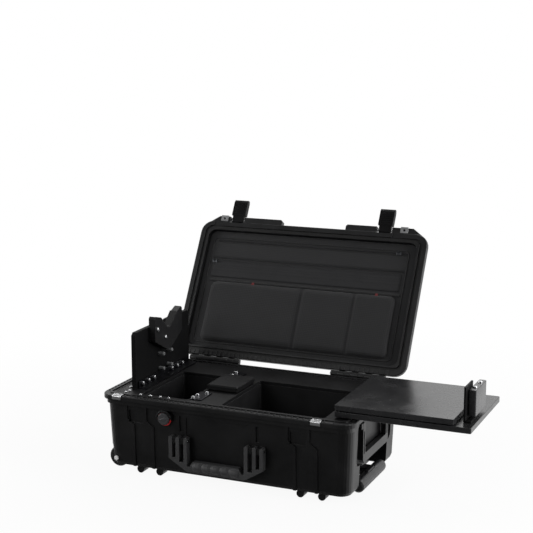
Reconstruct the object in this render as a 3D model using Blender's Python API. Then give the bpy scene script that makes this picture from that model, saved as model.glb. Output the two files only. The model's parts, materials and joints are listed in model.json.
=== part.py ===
"""Rugged wheeled hard case, open, fitted out as a bench for an instrument.

Metres, +Z up, origin on the floor under the middle of the case, +X along the
case towards the pull-out support, +Y towards the hinge. Everything on the lid
is modelled in the lid's closed place, from the hinge axis, under one parent
that is turned to the open angle.
"""
from math import cos, pi, radians, sin

import bmesh
import bpy
from mathutils import Matrix, Vector

for old in list(bpy.data.objects):
    bpy.data.objects.remove(old, do_unlink=True)

# ---------------------------------------------------------------- dimensions
GAP = 0.0003                # seating or running gap between two pieces
SINK = 0.002                # how far an added part reaches into its neighbour

# Base shell
RIM_LENGTH = 0.545
RIM_DEPTH = 0.321
RIM_TOP = 0.166
RIM_RADIUS = 0.028
FLANGE = 0.011              # thickness of the rim flange
BAND = 0.010                # height of the step under the flange
BAND_INSET = 0.006
WALL_INSET_X = 0.0062       # from the flange's edge to the wall, at the ends
WALL_INSET_Y = 0.0125       # the same at the front and the back
WALL_RADIUS = 0.024
WALL_TAPER = 0.0045         # the wall leans in by this much at the bottom
UNDERSIDE = 0.013
BOTTOM_ROUND = 0.009        # rounding of the bottom edge
END_WALL = 0.0215           # from the rim's outside to the hollow, at the ends
SIDE_WALL = 0.021           # the same at the front and the back
INNER_RADIUS = 0.018
FLOOR_THICK = 0.005
LEDGE = 0.003               # the deck rests on a ledge of this width
HOUSING_TOP = 0.072         # top of the wheel and trolley housings inside
HOUSING_WALL = 0.006
TONGUE_WIDTH = 0.004
TONGUE_HEIGHT = 0.0025
TONGUE_INSET = 0.0125       # from the flange's edge to the tongue

# Half sizes of the case, from which the rest takes its place
RIM_X = RIM_LENGTH / 2
RIM_Y = RIM_DEPTH / 2
INNER_X = RIM_X - END_WALL
INNER_Y = RIM_Y - SIDE_WALL

# Skids under the base
SKID_INNER = 0.018
SKID_OUTER = RIM_Y - 0.0685
SKID_LEFT = -RIM_X + 0.0725
SKID_RIGHT = RIM_X - 0.0585
WEB_HALF = 0.030            # half length of the foot between the skids

# Front wall
FRONT_CENTRE = -0.0100      # middle of the front handle
RIB_WIDTH = 0.006
RIB_PROUD = 0.0025
RIB_FOOT = 0.0165           # height at which a rib ends
FOOT_RADIUS = 0.0080        # round feet under the front edge, beside the ribs
FOOT_SHIFT = 0.008
FOOT_BACK = 0.008           # how far a foot is set back from the wall
FOOT_LENGTH = 0.022
RIBS_HIGH = ((-RIM_X + 0.0555, -RIM_X + 0.0995), (RIM_X - 0.1365, RIM_X - 0.0915))
RIB_SHIFT = 0.0155          # the ribs step sideways below the latches
RIB_STEP_LOW = 0.106
RIB_STEP_HIGH = 0.117
PANEL_HALF = 0.072
PANEL_DEPTH = 0.002
PANEL_LOW = 0.032
PANEL_HIGH = 0.136
POCKET_DEPTH = 0.003
SLOT_WIDTH = 0.007
SLOT_LOW = 0.104

# Pressure valve
VALVE_X = -RIM_X + 0.1455
VALVE_Z = 0.1295
VALVE_BOSS = 0.0028         # the boss stands out this far
VALVE_RADIUS = 0.0122
VALVE_CAP = 0.0042
VALVE_NECK = 0.0115
VALVE_RING = 0.0134
VALVE_CORD = 0.0018         # radius of the sealing ring's own section
VALVE_SHANK = 0.006
VALVE_SHANK_LENGTH = 0.006

# Front handle
HANDLE_AXIS_Y = -RIM_Y + 0.0025
HANDLE_AXIS_Z = 0.090
HANDLE_THICK = 0.013
PRONGS = (0.099, 0.0835, 0.066)
PRONG_WIDTH = 0.0078
PRONG_ABOVE = 0.0080        # how far a prong reaches above its pin
PRONG_ROOTS = (0.055, 0.047, 0.040)
HANDLE_ELBOW = 0.0525       # height at which the handle's outer edge turns in
GRIP_LOW = 0.0285
GRIP_HIGH = 0.0505
GRIP_RADIUS = 0.0092
GRIP_HALF = 0.050
GRIP_CHEEK = 0.0565         # half width of the grip's ends, beside the last prongs
GRIP_BUMPS = 5
GRIP_BUMP = 0.0016
SHOULDER = 0.062            # half width at which the handle's lower edge turns up
HANDLE_PIN = 0.0028
LUG_WIDTH = 0.006
LUG_HALF = 0.0060           # half height of a lug about the pin
LUG_FRONT = 0.0042          # how far a lug reaches in front of the pin's axis

# Side handle on the right end
SIDE_AXIS_X = RIM_X - 0.0105
SIDE_AXIS_Z = 0.142
SIDE_HALF = RIM_Y - 0.0835           # half of the handle's outer width
SIDE_ARM = 0.013
SIDE_THICK = 0.011
SIDE_BAR_LOW = 0.065
SIDE_BAR_HIGH = 0.083
SIDE_SLOT = 0.0045          # width of the slot sunk in each arm
SIDE_SLOT_DEPTH = 0.004
SIDE_LUG = 0.009
SIDE_LUG_GAP = 0.001
SIDE_PIN = 0.0028
RECESS_DEPTH = 0.0128
RECESS_HALF = RIM_Y - 0.0565
RECESS_LOW = 0.064
RECESS_HIGH = 0.1525

# Pull-out trolley handle
CUTOUT_LEFT = RIM_X - 0.0465
CUTOUT_HALF = RIM_Y - 0.0765
CUTOUT_TOP = 0.068
BAR_X = RIM_X - 0.0180
BAR_Z = 0.0135
BAR_RADIUS = 0.0128
BAR_HALF = CUTOUT_HALF - 0.013
BAR_ROUND = 0.003
ARM_WIDTH = 0.026           # the grip's arms, which the tubes end in
ARM_LOW = 0.0020
ARM_HIGH = 0.0205
ARM_SPACE = 0.0015          # between the arms and the case
TUBE_Y = 0.032
TUBE_WIDTH = 0.020
TUBE_THICK = 0.008
TUBE_Z = 0.0085
TUBE_LEFT = SKID_LEFT + 0.010
TUBE_RUN = 0.0004           # running gap of a tube in its channel
BUTTON_LENGTH = 0.036
BUTTON_WIDTH = 0.009
BUTTON_PROUD = 0.0025
BUTTON_BODY = 0.006
BUTTON_TRAVEL = 0.002

# Wheels
WHEEL_X = -RIM_X + 0.0285
WHEEL_Y = RIM_Y - 0.0345
WHEEL_Z = 0.0285
WHEEL_RADIUS = 0.021
WHEEL_WIDTH = 0.021
WHEEL_SIDE = 0.0015         # between the wheel and its well, on each side
WHEEL_OVER = 0.004          # the same around the tyre
HUB_RADIUS = 0.0135
HUB_PROUD = 0.0007
AXLE_RADIUS = 0.004
AXLE_HEAD = 0.0048
AXLE_CAP = 0.003
AXLE_SEAT = 0.006           # the axle's length in the inner side of the well

# Hinge
HINGE_Y = RIM_Y + 0.0075
HINGE_Z = 0.168
KNUCKLE_RADIUS = 0.0065
KNUCKLES = 8                # in each of the two groups
KNUCKLE_FROM = 0.108
KNUCKLE_TO = RIM_X - 0.0435
HINGE_PIN = 0.0025
HINGE_PIN_END = 0.002       # the pin stands out past the knuckles
LID_ANGLE = 119.6           # from closed to the open stop, degrees

# Lid
LID_DEPTH = 0.0525
LID_TOP_THICK = 0.0065
LID_TAPER = 0.005
GROOVE_DEPTH = 0.005
GROOVE_GAP = 0.001
GASKET = 0.0016
LATCH_BLOCK_OUT = 0.0135    # the latch blocks stand out past the flange
LATCH_BLOCK_FROM = 0.077
LATCH_BLOCK_TO = RIM_X - 0.0385
LATCH_BLOCK_END = RIM_X - 0.0105   # the block slopes down to the corner, to here
LATCH_BLOCK_FALL = 0.0061   # and this far in from the flange's front edge
LATCH_BLOCK_LOW = 0.004     # above the rim plane
LATCH_BLOCK_HIGH = 0.017

# Latches
LATCHES = (-RIM_X + 0.0835, RIM_X - 0.105)
LATCH_WIDTH = 0.034
LATCH_NECK = 0.028
LATCH_NECK_THICK = 0.009
LATCH_THICK = 0.0115
LATCH_HEEL = 0.0065
LATCH_CLEAR = 0.0030        # behind the latch's heel, for its swing
LATCH_NECK_LENGTH = 0.011
LATCH_LENGTH = 0.049
LATCH_PIN_OUT = 0.0075      # pin axis, past the flange's edge
LATCH_PIN_Z = 0.0105        # pin axis, above the rim plane
LATCH_PIN = 0.002
LATCH_PIN_SEAT = 0.005
LATCH_SIDE = 0.001

# Padlock plates
PLATE_WIDTH = 0.020
LID_PLATE_WIDTH = 0.0175
PLATE_THICK = 0.0015
PLATE_TAB = 0.012
PLATE_DROP = 0.0075
PLATE_HOLE = 0.0028
BASE_PLATES = (-RIM_X + 0.040, RIM_X - 0.073)
LID_PLATES = (-RIM_X + 0.052, RIM_X - 0.0585)

# Organizer in the lid
ORGANIZER_SINK = 0.010      # from the rim plane to its front
ORGANIZER_THICK = 0.006
POUCH_HALF = INNER_X - 0.023
POUCH_LOW = 0.036           # measured up the lid from the hinge axis
POUCH_HIGH = HINGE_Y + 0.024
POUCH_THICK = 0.008
PULL_WIDTH = 0.009
PULL_LENGTH = 0.017
PULL_THICK = 0.0028
PULLS = (("left", -INNER_X + 0.027, HINGE_Y + 0.066), ("right", INNER_X - 0.041, HINGE_Y + 0.116))

# Deck and bins
DECK_THICK = 0.0058
DECK_DROP = 0.0002          # below the rim's top
DECK_GAP = 0.0006
OPENING_BACK = INNER_Y - 0.0815
LEFT_OPENING = (-INNER_X + 0.059, -0.1733 * 2 * INNER_X, -INNER_Y + 0.0135, OPENING_BACK)
RIGHT_OPENING = (-0.0219 * 2 * INNER_X, INNER_X - 0.043, -INNER_Y + 0.0065, OPENING_BACK)
OPENING_RADIUS = 0.007
BIN_WALL = 0.003
BIN_OVER = 0.0012           # the bins reach this far under the deck
DECK_SCREW = 0.0032
DECK_SCREW_HIGH = 0.0010
DECK_SCREWS = ((0.023, 0.0115), (0.025, 0.0235), (0.014, 0.0475), (0.059, 0.007), (0.082, 0.007),
               (0.104, 0.007), (0.123, 0.007))   # in from the deck's left and front edges
DIVIDER = (LEFT_OPENING[1] + 0.004, RIGHT_OPENING[0] - 0.003, -0.050, OPENING_BACK - 0.020)
DIVIDER_HIGH = 0.0125
BRACKET_THICK = 0.0022
BRACKET_SCREW = 0.0040
BRACKET_SCREW_HIGH = 0.0022
BRACKETS = (("front", LEFT_OPENING[1] + 0.0008, -INNER_Y + 0.0155, 0.0262, 0.054,
             ((0.0057, 0.006), (0.0062, 0.025), (0.0172, 0.046))),
            ("back", LEFT_OPENING[1] + 0.0008, OPENING_BACK - 0.015, 0.0292, 0.051,
             ((0.0077, 0.021), (0.0072, 0.043), (0.0222, 0.008))))   # left, front, size, screws

# Tower, cradle and pegs
TOWER_FACE = -RIM_X + 0.0545
TOWER_THICK = 0.009
TOWER_FRONT = -INNER_Y + 0.0345
TOWER_BACK = INNER_Y - 0.0025
TOWER_TOP = 0.285
TOWER_ROUND = 0.006
ANGLE_THICK = 0.003
ANGLE_HIGH = 0.0150
ANGLE_FOOT = 0.021
ANGLE_MARGIN = 0.008        # the angle is shorter than the tower at each end
STUD_HEAD = 0.0042
STUD_CAP = 0.0027
STUD_UP = 0.0080            # height of the studs above the deck
STUD_YS = (TOWER_FRONT + 0.021, TOWER_FRONT + 0.047, TOWER_FRONT + 0.071, TOWER_BACK - 0.091,
           TOWER_BACK - 0.065, TOWER_BACK - 0.041)
PEG_RADIUS = 0.004
PEG_LENGTH = 0.013
PEG_SHANK = 0.0025
PEG_SEAT = 0.006
PEG_YS = (-0.003, 0.034)
PEG_ZS = (0.187, 0.219)
CRADLE_Y = 0.015
CRADLE_THICK = 0.015
CRADLE_HALF = 0.061
CRADLE_TOP = 0.307
CRADLE_WAIST = 0.255
CRADLE_LOW = 0.228
CRADLE_FOOT = 0.010
NOTCH_HALF = 0.036
NOTCH_TOP = 0.299
NOTCH_FLOOR = 0.272
NOTCH_FOOT = 0.006
PAD_THICK = 0.0035
PAD_SHORT = 0.002           # the pad stops this far inside the notch's mouth
CRADLE_SCREWS = (("upper", -0.036, 0.2790), ("lower", -0.001, 0.2550))
SCREW_HEAD = 0.0045
SCREW_CAP = 0.0028
SCREW_SHANK = 0.0020
SCREW_BITE = 0.006          # the screw's length in the piece it holds to

# Sliding support
PLATFORM_LEFT = RIM_X - 0.0475
PLATFORM_LENGTH = 0.267
PLATFORM_FRONT = -RIM_Y + 0.0335
PLATFORM_BACK = RIM_Y - 0.0625
PLATFORM_LIFT = 0.0034      # above the deck
PLATE_LOWER = 0.0110
PLATE_SPACE = 0.0020
PLATE_UPPER = 0.0108
UPPER_SHORT = 0.033         # the upper board ends this much before the lower one
PLATE_EDGE = 0.0006
SPACER_RADIUS = 0.008
SPACER_INSET = 0.022
SUPPORT_TRAVEL = 0.200
RAIL_YS = (PLATFORM_FRONT + 0.027, PLATFORM_BACK - 0.028)
RAIL_LEFT = PLATFORM_LEFT + 0.001
RAIL_RIGHT = RAIL_LEFT + 0.023
RAIL_FOOT = 0.018           # width of the rail's foot on the deck
RAIL_NECK = 0.006
RAIL_HEAD = 0.012
RAIL_STEP = 0.003           # height of the neck in the board, and of the head
RAIL_RUN = 0.0004

# End stop
STOP_INSET = 0.0190         # the stop plate's right face, from the support's end
STOP_THICK = 0.0035
STOP_FRONT = PLATFORM_FRONT + 0.029
STOP_BACK = STOP_FRONT + 0.052
STOP_HIGH = 0.068
STOP_FOOT = 0.003
STOP_FOOT_OUT = 0.011
BLOCK_THICK = 0.0148
BLOCK_FRONT = STOP_FRONT + 0.017
BLOCK_BACK = BLOCK_FRONT + 0.080
BLOCK_UP = 0.008            # above the support
BLOCK_HIGH = 0.051
BLOCK_EDGE = 0.001
STOP_SCREW_YS = (BLOCK_FRONT + 0.020, BLOCK_BACK - 0.021)

# ------------------------------------------------------------ derived places
WALL_X = RIM_X - WALL_INSET_X
WALL_Y = RIM_Y - WALL_INSET_Y
BAND_TOP = RIM_TOP - FLANGE
BAND_LOW = BAND_TOP - BAND
WALL_LOW = UNDERSIDE + BOTTOM_ROUND
FLOOR_TOP = UNDERSIDE + FLOOR_THICK
DECK_TOP = RIM_TOP - DECK_DROP
DECK_LOW = DECK_TOP - DECK_THICK
ON_DECK = DECK_TOP + GAP
WELL_HALF = WHEEL_WIDTH / 2 + WHEEL_SIDE
WELL_RIGHT = WHEEL_X + WHEEL_RADIUS + WHEEL_OVER
RECESS_X = WALL_X - RECESS_DEPTH
BAR_TOP = BAR_Z + BAR_RADIUS
LID_RIM = RIM_TOP + GAP - HINGE_Z    # the lid's rim plane, from the hinge axis
LID_FRONT = -(HINGE_Y + RIM_Y)       # the lid flange's front edge, from the axis
LATCH_Y = LID_FRONT - LATCH_PIN_OUT
LATCH_Z = LID_RIM + LATCH_PIN_Z
PANEL_FRONT = LID_RIM + ORGANIZER_SINK
PLATFORM_LOW = DECK_TOP + PLATFORM_LIFT
LOWER_TOP = PLATFORM_LOW + PLATE_LOWER
UPPER_LOW = LOWER_TOP + PLATE_SPACE
CRADLE_FACE = TOWER_FACE + GAP + CRADLE_THICK
STOP_X = PLATFORM_LEFT + PLATFORM_LENGTH - STOP_INSET
BLOCK_TOP = LOWER_TOP + BLOCK_UP + BLOCK_HIGH


# ------------------------------------------------------------------- solids
# A solid is a pair of lists, its points and its faces.
def loft(loops, closed=False):
    """A solid through loops of equally many points; closed joins the last to the first."""
    count = len(loops[0])
    points = [point for loop in loops for point in loop]
    levels = len(loops) if closed else len(loops) - 1
    faces = []
    for step in range(levels):
        low = step * count
        high = (step + 1) % len(loops) * count
        for i in range(count):
            j = (i + 1) % count
            faces.append([low + i, low + j, high + j, high + i])
    if not closed:
        faces.append(list(range(count)))
        faces.append(list(range(len(points) - count, len(points))))
    return points, faces


def place(axis, first, second, along):
    """A point from two plane coordinates and one along the named axis."""
    if axis == "X":
        return (along, first, second)
    if axis == "Y":
        return (first, along, second)
    return (first, second, along)


def rounded(half_x, half_y, radius, centre=(0.0, 0.0), steps=6):
    """Plane points of a rounded rectangle."""
    points = []
    for quarter, (sx, sy) in enumerate(((1, 1), (-1, 1), (-1, -1), (1, -1))):
        for step in range(steps + 1):
            turn = (quarter + step / steps) * pi / 2
            points.append((centre[0] + sx * (half_x - radius) + radius * cos(turn),
                           centre[1] + sy * (half_y - radius) + radius * sin(turn)))
    return points


def level(outline, z):
    """Plane points at height z."""
    return [(a, b, z) for a, b in outline]


def ring(half_x, half_y, radius, width, z_low, z_high, centre=(0.0, 0.0)):
    """A rounded rectangular frame; its width is measured inwards."""
    outer = rounded(half_x, half_y, radius, centre)
    inner = rounded(half_x - width, half_y - width, radius - width, centre)
    return loft([level(outer, z_low), level(outer, z_high), level(inner, z_high), level(inner, z_low)],
                closed=True)


def prism(outline, axis, low, high):
    """An outline of plane points, drawn out along an axis."""
    return loft([[place(axis, a, b, along) for a, b in outline] for along in (low, high)])


def box(x_low, x_high, y_low, y_high, z_low, z_high):
    """A box between two corners, in either order."""
    outline = [(x_low, y_low), (x_high, y_low), (x_high, y_high), (x_low, y_high)]
    return prism(outline, "Z", z_low, z_high)


def slab(x_low, x_high, y_low, y_high, z_low, z_high, edge=PLATE_EDGE, radius=0.003):
    """A plate with round corners and softened top and bottom edges."""
    centre = ((x_low + x_high) / 2, (y_low + y_high) / 2)
    half_x = (x_high - x_low) / 2
    half_y = (y_high - y_low) / 2
    loops = []
    for inset, z in ((edge, z_low), (0, z_low + edge), (0, z_high - edge), (edge, z_high)):
        loops.append(level(rounded(half_x - inset, half_y - inset, radius, centre, 3), z))
    return loft(loops)


def circle(first, second, radius, steps):
    """Plane points of a circle."""
    return [(first + radius * cos(2 * pi * i / steps), second + radius * sin(2 * pi * i / steps))
            for i in range(steps)]


def turned(axis, first, second, profile, steps=24, closed=False):
    """A turned solid from (place along the axis, radius) pairs."""
    loops = [[place(axis, a, b, along) for a, b in circle(first, second, radius, steps)]
             for along, radius in profile]
    return loft(loops, closed)


def rod(axis, first, second, radius, low, high, steps=16):
    """A plain cylinder along an axis."""
    return turned(axis, first, second, ((low, radius), (high, radius)), steps)


def together(solids):
    """Several solids that don't touch, as one."""
    points = []
    faces = []
    for solid_points, solid_faces in solids:
        start = len(points)
        points += solid_points
        faces += [[start + i for i in face] for face in solid_faces]
    return points, faces


def mirrored(outline, middle=0.0):
    """The right half of an outline, (distance from the middle, height), made whole."""
    right = [(middle + a, b) for a, b in outline]
    left = [(middle - a, b) for a, b in reversed(outline)]
    return right + left


# ------------------------------------------------------------------ objects
def mesh_object(name, solid):
    """An object whose faces point outwards."""
    points, faces = solid
    bm = bmesh.new()
    corners = [bm.verts.new(point) for point in points]
    for face in faces:
        bm.faces.new([corners[i] for i in face])
    bmesh.ops.recalc_face_normals(bm, faces=bm.faces)
    mesh = bpy.data.meshes.new(name)
    bm.to_mesh(mesh)
    bm.free()
    obj = bpy.data.objects.new(name, mesh)
    bpy.context.scene.collection.objects.link(obj)
    return obj


def material(name, colour, roughness, metallic=0.0):
    """A plain finish."""
    made = bpy.data.materials.new(name)
    made.use_nodes = True
    shader = made.node_tree.nodes["Principled BSDF"]
    shader.inputs["Base Color"].default_value = (*colour, 1.0)
    shader.inputs["Roughness"].default_value = roughness
    shader.inputs["Metallic"].default_value = metallic
    return made


ADD = "UNION"
CUT = "DIFFERENCE"


def boolean(target, operation, solid):
    """Add a solid to the target's mesh, or cut it out."""
    helper = mesh_object(target.name + "_helper", solid)
    helper.hide_render = True
    helper.display_type = "WIRE"
    modifier = target.modifiers.new("shape", "BOOLEAN")
    modifier.operation = operation
    modifier.solver = "EXACT"
    modifier.object = helper
    graph = bpy.context.evaluated_depsgraph_get()
    result = bpy.data.meshes.new_from_object(target.evaluated_get(graph))
    target.modifiers.clear()
    before = target.data
    target.data = result
    bpy.data.meshes.remove(before)
    helper_mesh = helper.data
    bpy.data.objects.remove(helper)
    bpy.data.meshes.remove(helper_mesh)


def piece(name, finish, solid, steps=(), origin=(0.0, 0.0, 0.0), parent=None):
    """One named piece: a solid, then what is added and cut, in order."""
    obj = mesh_object(name, solid)
    for operation, shape in steps:
        boolean(obj, operation, shape)
    bm = bmesh.new()
    bm.from_mesh(obj.data)
    bmesh.ops.remove_doubles(bm, verts=bm.verts, dist=2e-6)
    bmesh.ops.dissolve_degenerate(bm, edges=bm.edges, dist=2e-6)
    bm.to_mesh(obj.data)
    bm.free()
    obj.data.transform(Matrix.Translation(-Vector(origin)))
    obj.location = origin
    obj.data.materials.clear()
    obj.data.materials.append(finish)
    obj.data.shade_smooth()
    obj.data.set_sharp_from_angle(angle=radians(35))
    obj.parent = parent
    return obj


PLASTIC = material("moulded_polypropylene", (0.018, 0.018, 0.019), 0.55)
RUBBER = material("moulded_rubber", (0.036, 0.036, 0.037), 0.7)
NYLON = material("black_nylon", (0.024, 0.024, 0.025), 0.5)
STEEL = material("stainless_steel", (0.62, 0.61, 0.60), 0.3, 1.0)
ANODISED = material("black_anodised_aluminium", (0.05, 0.05, 0.055), 0.35, 1.0)
SHEET = material("black_deck_sheet", (0.026, 0.026, 0.028), 0.5)
BOARD = material("grey_support_board", (0.10, 0.10, 0.105), 0.6)
FABRIC = material("black_fabric", (0.030, 0.030, 0.032), 0.9)
SILICONE = material("red_silicone", (0.55, 0.03, 0.03), 0.5)
TYRE = material("polyurethane_tyre", (0.020, 0.020, 0.020), 0.6)


# --------------------------------------------------------------- base shell
def front_wall(z):
    """The front wall's outer face at height z; it leans in towards the bottom."""
    share = (BAND_LOW - z) / (BAND_LOW - WALL_LOW)
    return -(WALL_Y - WALL_TAPER * min(max(share, 0.0), 1.0))


def front_cut(x_low, x_high, z_low, z_high, depth):
    """A cutter that sinks into the front wall to one depth all the way up."""
    loops = []
    for z in (z_low, z_high):
        inner = front_wall(z) + depth
        loops.append([(x_low, -RIM_DEPTH, z), (x_high, -RIM_DEPTH, z), (x_high, inner, z), (x_low, inner, z)])
    return loft(loops)


def front_rib(x_high):
    """A rib down the front wall that steps sideways and ends in a foot."""
    x_low = x_high + RIB_SHIFT
    root = front_wall(WALL_LOW) + SINK
    stations = ((RIB_FOOT, x_low), (WALL_LOW, x_low), (RIB_STEP_LOW, x_low),
                (RIB_STEP_HIGH, x_high), (BAND_LOW + SINK, x_high))
    loops = []
    for z, x in stations:
        face = front_wall(z) - RIB_PROUD
        loops.append([(x - RIB_WIDTH / 2, face, z), (x + RIB_WIDTH / 2, face, z),
                      (x + RIB_WIDTH / 2, root, z), (x - RIB_WIDTH / 2, root, z)])
    return loft(loops)


def knuckle_ends(index, side):
    """The two ends of one hinge knuckle."""
    pitch = (KNUCKLE_TO - KNUCKLE_FROM) / KNUCKLES
    near = KNUCKLE_FROM + index * pitch + GAP
    return side * near, side * (near + pitch - 2 * GAP)


def knuckle_webs(first, y_low, y_high, z_low, z_high):
    """The webs between a shell and its knuckles."""
    return together([box(*knuckle_ends(index, side), y_low, y_high, z_low, z_high)
                     for side in (-1, 1) for index in range(first, KNUCKLES, 2)])


def knuckle_barrels(first, axis_y, axis_z):
    """Every other knuckle of both groups."""
    return together([rod("X", axis_y, axis_z, KNUCKLE_RADIUS, *knuckle_ends(index, side))
                     for side in (-1, 1) for index in range(first, KNUCKLES, 2)])


def hinge_bores(axis_y, axis_z):
    """The bores for both hinge pins."""
    return together([rod("X", axis_y, axis_z, HINGE_PIN + GAP, side * (KNUCKLE_FROM - SINK),
                         side * (KNUCKLE_TO + SINK)) for side in (-1, 1)])


def front_lugs():
    """Lugs between the prongs, which carry the front handle's pins."""
    lugs = []
    for side in (-1, 1):
        for near, far in zip(PRONGS[1:], PRONGS):
            middle = FRONT_CENTRE + side * (near + far) / 2
            lugs.append(box(middle - LUG_WIDTH / 2, middle + LUG_WIDTH / 2, HANDLE_AXIS_Y - LUG_FRONT,
                            -INNER_Y - SINK, HANDLE_AXIS_Z - LUG_HALF, HANDLE_AXIS_Z + LUG_HALF))
    return together(lugs)


def front_pins(radius, longer):
    """Rods through the prongs on each side."""
    near = PRONGS[-1] - PRONG_WIDTH / 2 - longer
    far = PRONGS[0] + PRONG_WIDTH / 2 + longer
    return [rod("X", HANDLE_AXIS_Y, HANDLE_AXIS_Z, radius, FRONT_CENTRE + side * near,
                FRONT_CENTRE + side * far) for side in (-1, 1)]


def side_lugs():
    """Lugs outside the arms of the side handle."""
    near = SIDE_HALF + SIDE_LUG_GAP
    return together([box(RECESS_X - SINK, SIDE_AXIS_X + SIDE_THICK / 2, side * near,
                         side * (near + SIDE_LUG), SIDE_AXIS_Z - SIDE_THICK / 2,
                         SIDE_AXIS_Z + SIDE_THICK / 2) for side in (-1, 1)])


def side_pins(radius, longer):
    """Rods through an arm of the side handle and the lug beside it."""
    near = SIDE_HALF - SIDE_ARM - longer
    far = SIDE_HALF + SIDE_LUG_GAP + SIDE_LUG + longer
    return [rod("Y", SIDE_AXIS_X, SIDE_AXIS_Z, radius, side * near, side * far) for side in (-1, 1)]


def wheel_wells():
    """The pockets for the two wheels, open to the left and below."""
    return together([box(-RIM_X, WELL_RIGHT, side * (WHEEL_Y - WELL_HALF), side * (WHEEL_Y + WELL_HALF),
                         -UNDERSIDE, WHEEL_Z + WHEEL_RADIUS + WHEEL_OVER) for side in (-1, 1)])


def axle(side):
    """One axle, from its seat in the shell to its head outside the wall."""
    inner = WHEEL_Y - WELL_HALF - AXLE_SEAT
    outer = GAP - front_wall(WHEEL_Z + AXLE_HEAD)
    profile = ((side * inner, AXLE_RADIUS), (side * outer, AXLE_RADIUS), (side * outer, AXLE_HEAD),
               (side * (outer + AXLE_CAP), AXLE_HEAD))
    return turned("Y", WHEEL_X, WHEEL_Z, profile, 16)


def axle_bores():
    """The bores for both axles."""
    inner = WHEEL_Y - WELL_HALF - AXLE_SEAT - GAP
    return together([rod("Y", WHEEL_X, WHEEL_Z, AXLE_RADIUS + GAP, side * inner, side * RIM_Y)
                     for side in (-1, 1)])


def tube(side, spare, left, right):
    """One flat trolley tube, or with spare room the channel it runs in."""
    half_y = TUBE_WIDTH / 2 + spare
    half_z = TUBE_THICK / 2 + spare
    return box(left, right, side * TUBE_Y - half_y, side * TUBE_Y + half_y, TUBE_Z - half_z, TUBE_Z + half_z)


def shell_levels(half_x, half_y, centre, stations):
    """Rounded levels of a shell from (inset in x, inset in y, radius, z)."""
    return loft([level(rounded(half_x - inset_x, half_y - inset_y, radius, centre), z)
                 for inset_x, inset_y, radius, z in stations])


def base_outer():
    """The outside of the base: rounded bottom, leaning wall, band and flange."""
    low_x = WALL_INSET_X + WALL_TAPER
    low_y = WALL_INSET_Y + WALL_TAPER
    half_round = BOTTOM_ROUND * 0.3
    soft = 0.0015
    return shell_levels(RIM_X, RIM_Y, (0.0, 0.0), (
        (low_x + BOTTOM_ROUND, low_y + BOTTOM_ROUND, WALL_RADIUS - BOTTOM_ROUND, UNDERSIDE),
        (low_x + half_round, low_y + half_round, WALL_RADIUS - half_round, UNDERSIDE + half_round),
        (low_x, low_y, WALL_RADIUS, WALL_LOW),
        (WALL_INSET_X, WALL_INSET_Y, WALL_RADIUS, BAND_LOW),
        (BAND_INSET, BAND_INSET, RIM_RADIUS - BAND_INSET, BAND_LOW + soft),
        (BAND_INSET, BAND_INSET, RIM_RADIUS - BAND_INSET, BAND_TOP),
        (0.0, 0.0, RIM_RADIUS, BAND_TOP + soft),
        (0.0, 0.0, RIM_RADIUS, RIM_TOP - soft),
        (soft, soft, RIM_RADIUS - soft, RIM_TOP)))


def base_hollows():
    """The hollows: the main one with the deck's ledge, and the pockets at both ends."""
    main = shell_levels(INNER_X, INNER_Y, (0.0, 0.0), (
        (LEDGE, LEDGE, INNER_RADIUS - LEDGE, HOUSING_TOP),
        (LEDGE, LEDGE, INNER_RADIUS - LEDGE, DECK_LOW - GAP),
        (0.0, 0.0, INNER_RADIUS, DECK_LOW - GAP),
        (0.0, 0.0, INNER_RADIUS, RIM_TOP + FLANGE)))
    left = WELL_RIGHT + HOUSING_WALL
    right = CUTOUT_LEFT - HOUSING_WALL
    half_y = INNER_Y - LEDGE
    low = prism(rounded((right - left) / 2, half_y, INNER_RADIUS - LEDGE, ((left + right) / 2, 0.0)),
                "Z", FLOOR_TOP, HOUSING_TOP + SINK)
    end = INNER_X - LEDGE - HOUSING_WALL
    between = WHEEL_Y - WELL_HALF - AXLE_SEAT - SINK
    pockets = [box(-end, left + HOUSING_WALL, -between, between, FLOOR_TOP, HOUSING_TOP + SINK)]
    for side in (-1, 1):
        pockets.append(box(right - HOUSING_WALL, end, side * (CUTOUT_HALF + HOUSING_WALL),
                           side * (half_y - HOUSING_WALL), FLOOR_TOP, HOUSING_TOP + SINK))
    return main, low, together(pockets)


def front_recesses():
    """Shallow recesses in the front wall: behind the handle, under the latches, slots."""
    fronts = [front_cut(FRONT_CENTRE - PANEL_HALF, FRONT_CENTRE + PANEL_HALF,
                        PANEL_LOW, PANEL_HIGH, PANEL_DEPTH)]
    for left, right in RIBS_HIGH:
        fronts.append(front_cut(left + RIB_WIDTH, right - RIB_WIDTH,
                                RIB_STEP_HIGH - RIB_WIDTH, PANEL_HIGH, POCKET_DEPTH))
    for side in (-1, 1):
        middle = FRONT_CENTRE + side * PRONGS[1]
        fronts.append(front_cut(middle - SLOT_WIDTH / 2, middle + SLOT_WIDTH / 2,
                                SLOT_LOW, PANEL_HIGH, POCKET_DEPTH))
    return together(fronts)


def side_recess():
    """The recess behind the side handle's upper half."""
    outline = rounded(RECESS_HALF, (RECESS_HIGH - RECESS_LOW) / 2, RECESS_DEPTH,
                      (0.0, (RECESS_HIGH + RECESS_LOW) / 2), 3)
    return prism(outline, "X", RECESS_X, RIM_X + SINK)


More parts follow.
